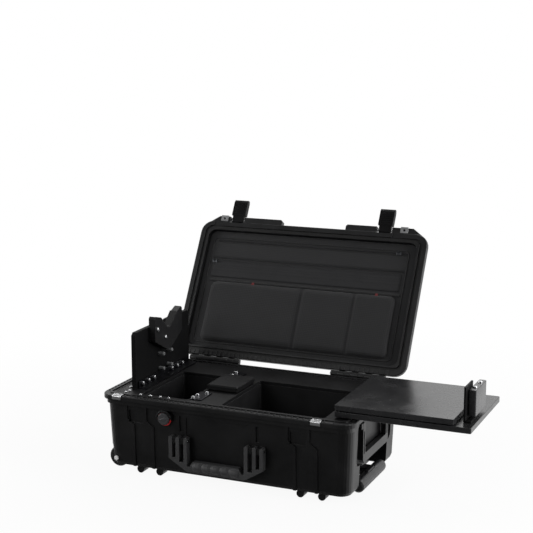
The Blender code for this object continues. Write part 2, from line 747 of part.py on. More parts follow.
def base_shell():
    tongue = ring(RIM_X - TONGUE_INSET, RIM_Y - TONGUE_INSET, RIM_RADIUS - TONGUE_INSET,
                  TONGUE_WIDTH, RIM_TOP - SINK, RIM_TOP + TONGUE_HEIGHT)
    ribs = together([front_rib(x) for pair in RIBS_HIGH for x in pair])
    skids = together([box(SKID_LEFT, SKID_RIGHT, side * SKID_INNER, side * SKID_OUTER,
                          0.0, UNDERSIDE + SINK) for side in (-1, 1)])
    foot = box(-WEB_HALF, WEB_HALF, -SKID_INNER - SINK, SKID_INNER + SINK, 0.0, UNDERSIDE + SINK)
    front = front_wall(WALL_LOW)
    feet = together([rod("Y", x + RIB_SHIFT + FOOT_SHIFT, FOOT_RADIUS, FOOT_RADIUS, front + FOOT_BACK,
                         front + FOOT_BACK + FOOT_LENGTH) for pair in RIBS_HIGH for x in pair])
    boss = rod("Y", VALVE_X, VALVE_Z, VALVE_RING + VALVE_CORD + GAP, -WALL_Y - VALVE_BOSS,
               -INNER_Y - SINK, 32)
    webs = knuckle_webs(0, RIM_Y - KNUCKLE_RADIUS, HINGE_Y, BAND_TOP + SINK, RIM_TOP - SINK)
    cutout = box(CUTOUT_LEFT, RIM_LENGTH, -CUTOUT_HALF, CUTOUT_HALF, -UNDERSIDE, CUTOUT_TOP)
    valve_bore = rod("Y", VALVE_X, VALVE_Z, VALVE_SHANK + GAP, -RIM_DEPTH,
                     -WALL_Y - VALVE_BOSS + VALVE_SHANK_LENGTH + GAP, 24)
    channels = together([tube(side, TUBE_RUN, SKID_LEFT - SINK, CUTOUT_LEFT + SINK) for side in (-1, 1)])
    steps = [(ADD, tongue), (ADD, ribs), (ADD, skids), (ADD, foot), (ADD, feet), (ADD, boss), (ADD, webs),
             (ADD, knuckle_barrels(0, HINGE_Y, HINGE_Z))]
    steps += [(CUT, hollow) for hollow in base_hollows()]
    steps += [(CUT, cutout), (CUT, front_recesses()), (CUT, side_recess()),
              (ADD, front_lugs()), (ADD, side_lugs()), (CUT, wheel_wells()), (CUT, channels),
              (CUT, together(front_pins(HANDLE_PIN + GAP, SINK))),
              (CUT, together(side_pins(SIDE_PIN + GAP, SINK))),
              (CUT, hinge_bores(HINGE_Y, HINGE_Z)), (CUT, valve_bore), (CUT, axle_bores())]
    piece("base_shell", PLASTIC, base_outer(), steps)


def valve():
    face = -WALL_Y - VALVE_BOSS
    seat = face - GAP
    under_cap = seat - 2 * VALVE_CORD - 2 * GAP
    end = under_cap - VALVE_CAP
    soft = 0.001
    profile = ((face + VALVE_SHANK_LENGTH, VALVE_SHANK), (seat, VALVE_SHANK), (seat, VALVE_NECK),
               (under_cap, VALVE_NECK), (under_cap, VALVE_RADIUS), (end + soft, VALVE_RADIUS),
               (end, VALVE_RADIUS - soft))
    piece("valve_body", NYLON, turned("Y", VALVE_X, VALVE_Z, profile), origin=(VALVE_X, seat, VALVE_Z))
    middle = seat - VALVE_CORD
    sides = 8
    section = circle(middle, VALVE_RING, VALVE_CORD, sides)
    piece("valve_ring", SILICONE, turned("Y", VALVE_X, VALVE_Z, section, 28, closed=True))


def base_plates():
    """L-shaped padlock plates over the front edge of the rim."""
    low = RIM_TOP + GAP
    back = -RIM_Y - GAP
    half = PLATE_WIDTH / 2
    for name, x in zip(("left", "right"), BASE_PLATES):
        profile = [(back - PLATE_THICK, low - PLATE_DROP), (back, low - PLATE_DROP), (back, low),
                   (back + PLATE_TAB, low), (back + PLATE_TAB, low + PLATE_THICK),
                   (back - PLATE_THICK, low + PLATE_THICK)]
        holes = together([rod("Z", x + side * half / 2, back + PLATE_TAB / 2, PLATE_HOLE,
                              low - GAP, low + 2 * PLATE_THICK, 12) for side in (-1, 1)])
        piece("base_plate_" + name, STEEL, prism(profile, "X", x - half, x + half), [(CUT, holes)])


def hinge_pins():
    for name, side in (("left", -1), ("right", 1)):
        near = side * (KNUCKLE_FROM - HINGE_PIN_END)
        far = side * (KNUCKLE_TO + HINGE_PIN_END)
        piece("hinge_pin_" + name, STEEL, rod("X", HINGE_Y, HINGE_Z, HINGE_PIN, near, far))


# ------------------------------------------------------------------ handles
def front_handle():
    top = HANDLE_AXIS_Z + PRONG_ABOVE
    half = PRONG_WIDTH / 2
    soft = HANDLE_THICK / 4
    outline = [(SHOULDER, GRIP_LOW), (SHOULDER + 2 * soft, GRIP_LOW + soft), (PRONGS[0] + half, HANDLE_ELBOW)]
    outside = PRONG_ROOTS[0]
    for middle, root in zip(PRONGS, PRONG_ROOTS):
        outline += [(middle + half, outside), (middle + half, top - half / 2), (middle + half / 2, top),
                    (middle - half / 2, top), (middle - half, top - half / 2), (middle - half, root)]
        outside = root
    outline += [(GRIP_CHEEK, PRONG_ROOTS[-1]), (GRIP_HALF, GRIP_HIGH)]
    y_low = HANDLE_AXIS_Y - HANDLE_THICK / 2
    y_high = HANDLE_AXIS_Y + HANDLE_THICK / 2
    pitch = 2 * GRIP_HALF / GRIP_BUMPS
    start = FRONT_CENTRE - GRIP_HALF
    profile = [(start, GRIP_RADIUS)]
    for i in range(GRIP_BUMPS):
        profile += [(start + (i + 0.3) * pitch, GRIP_RADIUS + GRIP_BUMP),
                    (start + (i + 0.7) * pitch, GRIP_RADIUS + GRIP_BUMP),
                    (start + (i + 1) * pitch, GRIP_RADIUS)]
    grip = turned("X", HANDLE_AXIS_Y, (GRIP_LOW + GRIP_HIGH) / 2, profile, 20)
    bores = together(front_pins(HANDLE_PIN + GAP, SINK))
    piece("front_handle", RUBBER, prism(mirrored(outline, FRONT_CENTRE), "Y", y_low, y_high),
          [(ADD, grip), (CUT, bores)], origin=(FRONT_CENTRE, HANDLE_AXIS_Y, HANDLE_AXIS_Z))
    for name, pin in zip(("left", "right"), front_pins(HANDLE_PIN, GAP)):
        piece("front_handle_pin_" + name, STEEL, pin)


def side_handle():
    top = SIDE_AXIS_Z + SIDE_THICK / 2
    soft = SIDE_ARM / 4
    inner = SIDE_HALF - SIDE_ARM
    outline = [(SIDE_HALF - 2 * soft, SIDE_BAR_LOW), (SIDE_HALF, SIDE_BAR_LOW + 2 * soft),
               (SIDE_HALF, top - soft), (SIDE_HALF - soft, top), (inner + soft, top), (inner, top - soft),
               (inner, SIDE_BAR_HIGH + soft), (inner - soft, SIDE_BAR_HIGH)]
    x_low = SIDE_AXIS_X - SIDE_THICK / 2
    x_high = SIDE_AXIS_X + SIDE_THICK / 2
    middle = SIDE_HALF - SIDE_ARM / 2
    slots = together([box(x_high - SIDE_SLOT_DEPTH, x_high + SINK, side * middle - SIDE_SLOT / 2,
                          side * middle + SIDE_SLOT / 2, SIDE_BAR_HIGH, SIDE_AXIS_Z - SIDE_ARM)
                      for side in (-1, 1)])
    piece("side_handle", RUBBER, prism(mirrored(outline), "X", x_low, x_high),
          [(CUT, slots), (CUT, together(side_pins(SIDE_PIN + GAP, SINK)))],
          origin=(SIDE_AXIS_X, 0.0, SIDE_AXIS_Z))
    for name, pin in zip(("front", "back"), side_pins(SIDE_PIN, -GAP)):
        piece("side_handle_pin_" + name, STEEL, pin)


def trolley():
    ends = BAR_HALF - BAR_ROUND
    profile = ((-BAR_HALF, BAR_RADIUS - BAR_ROUND), (-ends, BAR_RADIUS), (ends, BAR_RADIUS),
               (BAR_HALF, BAR_RADIUS - BAR_ROUND))
    button_low = BAR_TOP - BUTTON_BODY
    half_x = BUTTON_WIDTH / 2
    half_y = BUTTON_LENGTH / 2
    arms = together([slab(CUTOUT_LEFT + ARM_SPACE, BAR_X, side * TUBE_Y - ARM_WIDTH / 2,
                          side * TUBE_Y + ARM_WIDTH / 2, ARM_LOW, ARM_HIGH, ARM_SPACE, 2 * ARM_SPACE)
                     for side in (-1, 1)])
    sockets = together([tube(side, GAP, CUTOUT_LEFT, BAR_X + GAP) for side in (-1, 1)])
    pocket = box(BAR_X - half_x - GAP, BAR_X + half_x + GAP, -half_y - GAP, half_y + GAP,
                 button_low - BUTTON_TRAVEL - GAP, BAR_TOP + BUTTON_PROUD)
    piece("trolley_grip", NYLON, turned("Y", BAR_X, BAR_Z, profile),
          [(ADD, arms), (CUT, sockets), (CUT, pocket)], origin=(BAR_X, 0.0, BAR_Z))
    for name, side in (("front", -1), ("back", 1)):
        piece("trolley_tube_" + name, ANODISED, tube(side, 0.0, TUBE_LEFT, BAR_X))
    piece("trolley_button", NYLON, slab(BAR_X - half_x, BAR_X + half_x, -half_y, half_y, button_low,
                                        BAR_TOP + BUTTON_PROUD, BUTTON_PROUD / 4, half_x / 2),
          origin=(BAR_X, 0.0, BAR_TOP))


def wheels():
    half = WHEEL_WIDTH / 2
    soft = WHEEL_RADIUS / 8
    for name, side in (("front", -1), ("back", 1)):
        middle = side * WHEEL_Y
        origin = (WHEEL_X, middle, WHEEL_Z)
        tread = ((middle - half, HUB_RADIUS + GAP), (middle - half, WHEEL_RADIUS - soft),
                 (middle - half + soft, WHEEL_RADIUS), (middle + half - soft, WHEEL_RADIUS),
                 (middle + half, WHEEL_RADIUS - soft), (middle + half, HUB_RADIUS + GAP))
        piece("wheel_tyre_" + name, TYRE, turned("Y", WHEEL_X, WHEEL_Z, tread, 32, closed=True),
              origin=origin)
        low = middle - half - HUB_PROUD
        high = middle + half + HUB_PROUD
        bore = AXLE_RADIUS + GAP
        body = ((low, bore), (low, HUB_RADIUS), (high, HUB_RADIUS), (high, bore))
        piece("wheel_hub_" + name, NYLON, turned("Y", WHEEL_X, WHEEL_Z, body, 32, closed=True),
              origin=origin)
        piece("wheel_axle_" + name, STEEL, axle(side))


# ------------------------------------------------------------- deck and bins
def opening(bounds, spare=0.0):
    """Outline of an opening in the deck, made larger by spare."""
    x_low, x_high, y_low, y_high = bounds
    centre = ((x_low + x_high) / 2, (y_low + y_high) / 2)
    return rounded((x_high - x_low) / 2 + spare, (y_high - y_low) / 2 + spare, OPENING_RADIUS + spare, centre)


def deck():
    half_x = INNER_X - DECK_GAP
    half_y = INNER_Y - DECK_GAP
    plate = prism(rounded(half_x, half_y, INNER_RADIUS - DECK_GAP), "Z", DECK_LOW, DECK_TOP)
    cuts = [(CUT, prism(opening(bounds), "Z", DECK_LOW - SINK, DECK_TOP + SINK))
            for bounds in (LEFT_OPENING, RIGHT_OPENING)]
    heads = together([rod("Z", x - INNER_X, y - INNER_Y, DECK_SCREW, DECK_TOP - SINK,
                          DECK_TOP + DECK_SCREW_HIGH, 12) for x, y in DECK_SCREWS])
    piece("deck_frame", SHEET, plate, cuts + [(ADD, heads)])


def bins():
    """Open bins that stand on the floor under the two openings."""
    low = FLOOR_TOP + GAP
    high = DECK_LOW - GAP
    for name, bounds in (("left", LEFT_OPENING), ("right", RIGHT_OPENING)):
        outer = opening(bounds, BIN_OVER)
        inner = opening(bounds, BIN_OVER - BIN_WALL)
        piece("bin_" + name, PLASTIC, loft([level(inner, low + BIN_WALL), level(inner, high),
                                            level(outer, high), level(outer, low)]))


def deck_fittings():
    """The raised divider block and the two screwed brackets beside it."""
    x_low, x_high, y_low, y_high = DIVIDER
    piece("divider_block", NYLON, slab(x_low, x_high, y_low, y_high, ON_DECK, ON_DECK + DIVIDER_HIGH,
                                       BRACKET_THICK))
    top = ON_DECK + BRACKET_THICK
    for name, left, front, length, depth, screws in BRACKETS:
        heads = together([rod("Z", left + x, front + y, BRACKET_SCREW, top - BRACKET_THICK / 2,
                              top + BRACKET_SCREW_HIGH, 12) for x, y in screws])
        piece("bracket_" + name, ANODISED, slab(left, left + length, front, front + depth, ON_DECK, top),
              [(ADD, heads)])


# ---------------------------------------------------------- tower and cradle
def notch_height(distance):
    """Height of the notch's flank at a distance from its middle."""
    slope = (NOTCH_TOP - NOTCH_FLOOR) / (NOTCH_HALF - NOTCH_FOOT)
    return NOTCH_FLOOR + (distance - NOTCH_FOOT) * slope


def screw_bore(axis_y, axis_z):
    """The bore for a cradle screw, through the cradle and into the tower."""
    return rod("X", axis_y, axis_z, SCREW_SHANK + GAP, TOWER_FACE - SCREW_BITE - GAP,
               CRADLE_FACE + SINK, 12)


def tower():
    mouth = NOTCH_FOOT + (TOWER_TOP - NOTCH_FLOOR) * (NOTCH_HALF - NOTCH_FOOT) / (NOTCH_TOP - NOTCH_FLOOR)
    outline = [(TOWER_FRONT, ON_DECK), (TOWER_BACK, ON_DECK), (TOWER_BACK, TOWER_TOP - TOWER_ROUND),
               (TOWER_BACK - TOWER_ROUND, TOWER_TOP), (CRADLE_Y + mouth, TOWER_TOP),
               (CRADLE_Y + NOTCH_FOOT, NOTCH_FLOOR), (CRADLE_Y - NOTCH_FOOT, NOTCH_FLOOR),
               (CRADLE_Y - mouth, TOWER_TOP), (TOWER_FRONT + TOWER_ROUND, TOWER_TOP),
               (TOWER_FRONT, TOWER_TOP - TOWER_ROUND)]
    pegs = [(y, z) for z in PEG_ZS for y in PEG_YS]
    bores = [rod("X", y, z, PEG_SHANK + GAP, TOWER_FACE - PEG_SEAT - GAP, TOWER_FACE + SINK, 12)
             for y, z in pegs]
    bores += [screw_bore(y, z) for _, y, z in CRADLE_SCREWS]
    piece("tower_plate", SHEET, prism(outline, "X", TOWER_FACE - TOWER_THICK, TOWER_FACE),
          [(CUT, together(bores))])
    face = TOWER_FACE + GAP
    soft = 0.001
    for (y, z), name in zip(pegs, ("low_front", "low_back", "high_front", "high_back")):
        profile = ((TOWER_FACE - PEG_SEAT, PEG_SHANK), (face, PEG_SHANK), (face, PEG_RADIUS),
                   (face + PEG_LENGTH - soft, PEG_RADIUS), (face + PEG_LENGTH, PEG_RADIUS - soft))
        piece("peg_" + name, NYLON, turned("X", y, z, profile, 16))
    profile = [(face, ON_DECK), (face + ANGLE_FOOT, ON_DECK), (face + ANGLE_FOOT, ON_DECK + ANGLE_THICK),
               (face + ANGLE_THICK, ON_DECK + ANGLE_THICK), (face + ANGLE_THICK, ON_DECK + ANGLE_HIGH),
               (face, ON_DECK + ANGLE_HIGH)]
    studs = together([rod("X", y, ON_DECK + STUD_UP, STUD_HEAD, face + ANGLE_THICK / 2,
                          face + ANGLE_THICK + STUD_CAP, 12) for y in STUD_YS])
    piece("tower_angle", ANODISED, prism(profile, "Y", TOWER_FRONT + ANGLE_MARGIN, TOWER_BACK - ANGLE_MARGIN),
          [(ADD, studs)])


def cradle():
    soft = 0.004
    outline = [(CRADLE_FOOT, CRADLE_LOW), (CRADLE_HALF, CRADLE_WAIST), (CRADLE_HALF, CRADLE_TOP - soft),
               (CRADLE_HALF - soft, CRADLE_TOP), (NOTCH_HALF, NOTCH_TOP), (NOTCH_FOOT, NOTCH_FLOOR)]
    bores = together([screw_bore(y, z) for _, y, z in CRADLE_SCREWS])
    piece("neck_cradle", PLASTIC, prism(mirrored(outline, CRADLE_Y), "X", TOWER_FACE + GAP, CRADLE_FACE),
          [(CUT, bores)])
    lift = 2 * GAP
    mouth = NOTCH_HALF - PAD_SHORT
    pad = [(NOTCH_FOOT, NOTCH_FLOOR + lift), (mouth, notch_height(mouth) + lift),
           (mouth, notch_height(mouth) + lift + PAD_THICK), (NOTCH_FOOT, NOTCH_FLOOR + lift + PAD_THICK)]
    piece("cradle_pad", RUBBER, prism(mirrored(pad, CRADLE_Y), "X", TOWER_FACE + GAP, CRADLE_FACE))
    for name, y, z in CRADLE_SCREWS:
        head = CRADLE_FACE + GAP
        profile = ((TOWER_FACE - SCREW_BITE, SCREW_SHANK), (head, SCREW_SHANK), (head, SCREW_HEAD),
                   (head + SCREW_CAP, SCREW_HEAD))
        piece("cradle_screw_" + name, STEEL, turned("X", y, z, profile, 12))


# ------------------------------------------------------------ sliding support
def rail(y, spare, left, right, low):
    """A rail's neck and head, or with spare room the groove they run in."""
    neck = RAIL_NECK / 2 + spare
    head = RAIL_HEAD / 2 + spare
    step = PLATFORM_LOW + RAIL_STEP - spare
    top = PLATFORM_LOW + 2 * RAIL_STEP + spare
    outline = [(y - neck, low), (y + neck, low), (y + neck, step), (y + head, step),
               (y + head, top), (y - head, top), (y - head, step), (y - neck, step)]
    return prism(outline, "X", left, right)


def platform():
    right = PLATFORM_LEFT + PLATFORM_LENGTH
    upper_right = right - UPPER_SHORT
    origin = (PLATFORM_LEFT, 0.0, LOWER_TOP)
    spacers = together([rod("Z", x, y, SPACER_RADIUS, LOWER_TOP - SINK, UPPER_LOW - GAP)
                        for x in (PLATFORM_LEFT + SPACER_INSET, upper_right - SPACER_INSET)
                        for y in (PLATFORM_FRONT + SPACER_INSET, PLATFORM_BACK - SPACER_INSET)])
    grooves = [(CUT, rail(y, RAIL_RUN, PLATFORM_LEFT - SINK, RAIL_RIGHT + SUPPORT_TRAVEL + SINK,
                          PLATFORM_LOW - SINK)) for y in RAIL_YS]
    piece("platform_lower", BOARD, slab(PLATFORM_LEFT, right, PLATFORM_FRONT, PLATFORM_BACK,
                                        PLATFORM_LOW, LOWER_TOP), [(ADD, spacers)] + grooves, origin)
    piece("platform_upper", BOARD, slab(PLATFORM_LEFT, upper_right, PLATFORM_FRONT, PLATFORM_BACK,
                                        UPPER_LOW, UPPER_LOW + PLATE_UPPER), (), origin)


def guides():
    """T-shaped rails on the deck that the lower board slides on."""
    for name, y in zip(("front", "back"), RAIL_YS):
        half = RAIL_FOOT / 2
        foot = box(RAIL_LEFT, RAIL_RIGHT, y - half, y + half, ON_DECK, PLATFORM_LOW - GAP)
        piece("guide_" + name, ANODISED, foot,
              [(ADD, rail(y, 0.0, RAIL_LEFT, RAIL_RIGHT, PLATFORM_LOW - SINK))])


def end_stop():
    low = LOWER_TOP + GAP
    left = STOP_X - STOP_THICK
    foot = STOP_X + STOP_FOOT_OUT
    origin = (STOP_X, 0.0, LOWER_TOP)
    profile = [(left, low), (foot, low), (foot, low + STOP_FOOT), (STOP_X, low + STOP_FOOT),
               (STOP_X, low + STOP_HIGH), (left, low + STOP_HIGH)]
    piece("stop_plate", SHEET, prism(profile, "Y", STOP_FRONT, STOP_BACK), (), origin)
    x_low = STOP_X + GAP
    x_high = x_low + BLOCK_THICK
    middle = (x_low + x_high) / 2
    bores = together([rod("Z", middle, y, SCREW_SHANK + GAP, BLOCK_TOP - SCREW_BITE - GAP,
                          BLOCK_TOP + SINK, 12) for y in STOP_SCREW_YS])
    piece("stop_block", BOARD, slab(x_low, x_high, BLOCK_FRONT, BLOCK_BACK, LOWER_TOP + BLOCK_UP,
                                    BLOCK_TOP, BLOCK_EDGE), [(CUT, bores)], origin)
    head = BLOCK_TOP + GAP
    for name, y in zip(("front", "back"), STOP_SCREW_YS):
        profile = ((BLOCK_TOP - SCREW_BITE, SCREW_SHANK), (head, SCREW_SHANK), (head, SCREW_HEAD),
                   (head + SCREW_CAP, SCREW_HEAD))
        piece("stop_screw_" + name, STEEL, turned("Z", middle, y, profile, 12), (), origin)


# ---------------------------------------------------------------------- lid
def lid_outer(centre):
    """The outside of the lid, from its rim plane up."""
    soft = 0.0015
    band_low = LID_RIM + FLANGE
    band_high = band_low + BAND
    top = LID_RIM + LID_DEPTH
    high_x = WALL_INSET_X + LID_TAPER
    high_y = WALL_INSET_Y + LID_TAPER
    half_round = BOTTOM_ROUND * 0.3
    return shell_levels(RIM_X, RIM_Y, centre, (
        (soft, soft, RIM_RADIUS - soft, LID_RIM),
        (0.0, 0.0, RIM_RADIUS, LID_RIM + soft),
        (0.0, 0.0, RIM_RADIUS, band_low - soft),
        (BAND_INSET, BAND_INSET, RIM_RADIUS - BAND_INSET, band_low),
        (BAND_INSET, BAND_INSET, RIM_RADIUS - BAND_INSET, band_high - soft),
        (WALL_INSET_X, WALL_INSET_Y, WALL_RADIUS, band_high),
        (high_x, high_y, WALL_RADIUS, top - BOTTOM_ROUND),
        (high_x + half_round, high_y + half_round, WALL_RADIUS - half_round, top - half_round),
        (high_x + BOTTOM_ROUND, high_y + BOTTOM_ROUND, WALL_RADIUS - BOTTOM_ROUND, top)))


def latch_blocks():
    """Blocks at the lid's front edge that the latches hang between."""
    front = LID_FRONT - LATCH_BLOCK_OUT
    root = LID_FRONT + BAND_INSET + SINK
    soft = LATCH_BLOCK_OUT / 4
    outline = [(LATCH_BLOCK_FROM, root), (LATCH_BLOCK_FROM, front + soft), (LATCH_BLOCK_FROM + soft, front),
               (LATCH_BLOCK_TO, front), (LATCH_BLOCK_END, LID_FRONT + LATCH_BLOCK_FALL),
               (LATCH_BLOCK_END - SINK, root + LATCH_BLOCK_FALL)]
    low = LID_RIM + LATCH_BLOCK_LOW
    high = LID_RIM + LATCH_BLOCK_HIGH
    return together([prism([(side * x, y) for x, y in outline], "Z", low, high) for side in (-1, 1)])


def latch_pin(x, radius, longer):
    """A latch's pin, or with a larger radius its bore."""
    half = LATCH_WIDTH / 2 + LATCH_SIDE + LATCH_PIN_SEAT + longer
    return rod("X", LATCH_Y, LATCH_Z, radius, x - half, x + half, 12)


def lid_shell(parent):
    centre = (0.0, -HINGE_Y)
    webs = knuckle_webs(1, RIM_Y - HINGE_Y - KNUCKLE_RADIUS, 0.0, LID_RIM + 2 * SINK,
                        LID_RIM + FLANGE - SINK)
    hollow = prism(rounded(INNER_X, INNER_Y, INNER_RADIUS, centre), "Z", LID_RIM - SINK,
                   LID_RIM + LID_DEPTH - LID_TOP_THICK)
    outer = TONGUE_INSET - GROOVE_GAP
    width = TONGUE_WIDTH + 2 * GROOVE_GAP
    groove = ring(RIM_X - outer, RIM_Y - outer, RIM_RADIUS - outer, width,
                  LID_RIM - SINK, LID_RIM + GROOVE_DEPTH, centre)
    half = LATCH_WIDTH / 2 + LATCH_SIDE
    notches = together([box(x - half, x + half, LID_FRONT - RIM_RADIUS, LATCH_Y + LATCH_HEEL + LATCH_CLEAR,
                            LID_RIM - SINK, LID_RIM + LATCH_BLOCK_HIGH + SINK) for x in LATCHES])
    half = PLATE_WIDTH / 2 + LATCH_SIDE
    plate_seats = together([box(x - half, x + half, LID_FRONT - SINK, LID_FRONT + PLATE_TAB + LATCH_SIDE,
                                LID_RIM - SINK, LID_RIM + PLATE_THICK + 2 * GAP) for x in BASE_PLATES])
    pins = together([latch_pin(x, LATCH_PIN + GAP, GAP) for x in LATCHES])
    piece("lid_shell", PLASTIC, lid_outer(centre), [
        (ADD, latch_blocks()), (ADD, webs), (ADD, knuckle_barrels(1, 0.0, 0.0)), (CUT, hollow),
        (CUT, groove), (CUT, notches), (CUT, plate_seats), (CUT, pins), (CUT, hinge_bores(0.0, 0.0))],
        parent=parent)
    seal_top = LID_RIM + GROOVE_DEPTH - GAP
    seal = ring(RIM_X - outer - GAP, RIM_Y - outer - GAP, RIM_RADIUS - outer - GAP, width - 2 * GAP,
                seal_top - GASKET, seal_top, centre)
    piece("lid_gasket", RUBBER, seal, parent=parent)


def latches(parent):
    """Latches that point out from the open lid and swing inwards over the rim."""
    heel = LATCH_Y + LATCH_HEEL
    neck_end = LATCH_Y - LATCH_NECK_LENGTH
    tip = LATCH_Y - LATCH_LENGTH
    thin = LATCH_NECK_THICK / 2
    thick = LATCH_THICK / 2
    neck = [(heel, LATCH_Z - thin / 2), (heel, LATCH_Z + thin / 2), (heel - thin / 2, LATCH_Z + thin),
            (neck_end - SINK, LATCH_Z + thin), (neck_end - SINK, LATCH_Z - thin),
            (heel - thin / 2, LATCH_Z - thin)]
    head = [(neck_end, LATCH_Z - thick), (neck_end, LATCH_Z + thick), (tip + thick, LATCH_Z + thick),
            (tip, LATCH_Z + thick / 2), (tip, LATCH_Z - thick / 2), (tip + thick, LATCH_Z - thick)]
    wide = LATCH_WIDTH / 2
    narrow = LATCH_NECK / 2
    for name, x in zip(("left", "right"), LATCHES):
        piece("latch_" + name, NYLON, prism(neck, "X", x - narrow, x + narrow),
              [(ADD, prism(head, "X", x - wide, x + wide)), (CUT, latch_pin(x, LATCH_PIN + GAP, GAP))],
              origin=(x, LATCH_Y, LATCH_Z), parent=parent)
        piece("latch_pin_" + name, STEEL, latch_pin(x, LATCH_PIN, 0.0), parent=parent)


def lid_plates(parent):
    """L-shaped padlock plates under the latch blocks."""
    front = LID_FRONT - LATCH_BLOCK_OUT - GAP
    high = LID_RIM + LATCH_BLOCK_LOW - GAP
    low = high - PLATE_THICK
    top = high + LATCH_BLOCK_OUT / 2
    half = LID_PLATE_WIDTH / 2
    for name, x in zip(("left", "right"), LID_PLATES):
        profile = [(front, top), (front, high), (front + PLATE_TAB, high), (front + PLATE_TAB, low),
                   (front - PLATE_THICK, low), (front - PLATE_THICK, top)]
        hole = rod("Z", x, front + PLATE_TAB / 2, PLATE_HOLE, low - GAP, high + GAP, 12)
        piece("lid_plate_" + name, STEEL, prism(profile, "X", x - half, x + half), [(CUT, hole)],
              parent=parent)


def organizer(parent):
    """The lined panel in the lid, its padded pouch and the pulls of its two zips."""
    outline = rounded(INNER_X - GAP, INNER_Y - GAP, INNER_RADIUS - GAP, (0.0, -HINGE_Y))
    piece("organizer_panel", FABRIC, prism(outline, "Z", PANEL_FRONT, PANEL_FRONT + ORGANIZER_THICK),
          parent=parent)
    front = PANEL_FRONT - GAP
    piece("organizer_pouch", FABRIC, slab(-POUCH_HALF, POUCH_HALF, -POUCH_HIGH, -POUCH_LOW,
                                          front - POUCH_THICK, front, POUCH_THICK / 4, INNER_RADIUS),
          parent=parent)
    for name, x, up in PULLS:
        piece("zip_pull_" + name, STEEL, slab(x - PULL_LENGTH / 2, x + PULL_LENGTH / 2, -up - PULL_WIDTH / 2,
                                              -up + PULL_WIDTH / 2, front - PULL_THICK, front),
              origin=(x, -up, front), parent=parent)


base_shell()
valve()
base_plates()
hinge_pins()
front_handle()
side_handle()
trolley()
wheels()
deck()
bins()
deck_fittings()
tower()
cradle()
platform()
guides()
end_stop()
lid_axis = bpy.data.objects.new("lid_axis", None)
bpy.context.scene.collection.objects.link(lid_axis)
lid_axis.location = (0.0, HINGE_Y, HINGE_Z)
lid_axis.rotation_euler = (-radians(LID_ANGLE), 0.0, 0.0)
lid_shell(lid_axis)
latches(lid_axis)
lid_plates(lid_axis)
organizer(lid_axis)
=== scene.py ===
"""Dressed model of an open, wheeled hard case that is fitted out as a work bench.

Metres, +Z up, the floor at 0, +X along the case towards the pull-out support,
+Y towards the hinge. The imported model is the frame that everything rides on.
"""
import json
from math import cos, exp, pi, radians, sin

import bmesh
import bpy
from mathutils import Matrix, Vector

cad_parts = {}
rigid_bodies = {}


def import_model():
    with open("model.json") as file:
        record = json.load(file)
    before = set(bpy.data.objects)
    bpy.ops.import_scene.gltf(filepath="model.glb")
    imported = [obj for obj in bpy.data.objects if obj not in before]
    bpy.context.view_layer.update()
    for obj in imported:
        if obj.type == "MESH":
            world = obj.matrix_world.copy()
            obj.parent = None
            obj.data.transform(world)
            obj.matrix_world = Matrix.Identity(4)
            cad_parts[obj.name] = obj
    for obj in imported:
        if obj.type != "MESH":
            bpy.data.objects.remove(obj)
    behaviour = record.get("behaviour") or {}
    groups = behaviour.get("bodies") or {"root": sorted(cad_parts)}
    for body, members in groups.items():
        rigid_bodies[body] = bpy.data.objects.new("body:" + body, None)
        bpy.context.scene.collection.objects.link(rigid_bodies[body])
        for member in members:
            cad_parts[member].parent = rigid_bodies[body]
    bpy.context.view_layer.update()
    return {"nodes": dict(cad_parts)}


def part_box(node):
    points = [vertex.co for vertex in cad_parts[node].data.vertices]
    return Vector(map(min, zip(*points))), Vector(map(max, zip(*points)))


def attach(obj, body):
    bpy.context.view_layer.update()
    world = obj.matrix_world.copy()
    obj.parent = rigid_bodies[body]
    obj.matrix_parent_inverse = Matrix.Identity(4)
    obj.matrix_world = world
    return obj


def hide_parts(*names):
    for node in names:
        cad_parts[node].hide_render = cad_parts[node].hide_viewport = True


for old in list(bpy.data.objects):
    bpy.data.objects.remove(old, do_unlink=True)
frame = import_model()
nodes = frame["nodes"]


# ------------------------------------------------------------------ base shell
# The lower half of the case and its two open bins. Injection-moulded
# polypropylene copolymer in one shot each, black right through, with the fine
# grain of a spark-eroded tool and edges that travel has rubbed a little paler.
def linear(code):
    """An sRGB hex colour as the linear colour that a shader takes."""
    parts = [int(code[i:i + 2], 16) / 255 for i in (1, 3, 5)]
    return (*[p / 12.92 if p <= 0.04045 else ((p + 0.055) / 1.055) ** 2.4 for p in parts], 1.0)


def plug(tree, target, inputs):
    """Give a node's inputs their values, or the sockets that feed them."""
    for key, value in dict(inputs).items():
        if isinstance(value, bpy.types.NodeSocket):
            tree.links.new(value, target.inputs[key])
        else:
            target.inputs[key].default_value = value


def node(tree, kind, inputs=(), **settings):
    """One node with its settings; an input is a value or the socket that feeds it."""
    made = tree.nodes.new(kind)
    for key, value in settings.items():
        setattr(made, key, value)
    plug(tree, made, inputs)
    return made


def started(name):
    """A new material, its tree, and the piece's own coordinates."""
    made = bpy.data.materials.new(name)
    made.use_nodes = True
    tree = made.node_tree
    return made, tree, node(tree, "ShaderNodeTexCoord").outputs["Object"]


def worn_edges(tree, radius):
    """The normal of rounded edges, and how far each place is an edge, from 0 to 1."""
    soft = node(tree, "ShaderNodeBevel", {"Radius": radius}, samples=4).outputs["Normal"]
    flat = node(tree, "ShaderNodeNewGeometry").outputs["Normal"]
    bend = node(tree, "ShaderNodeVectorMath", {0: soft, 1: flat}, operation="DOT_PRODUCT")
    edge = node(tree, "ShaderNodeMapRange", {"Value": bend.outputs["Value"], "From Min": 0.985,
                                             "From Max": 0.80})
    return soft, edge.outputs["Result"]


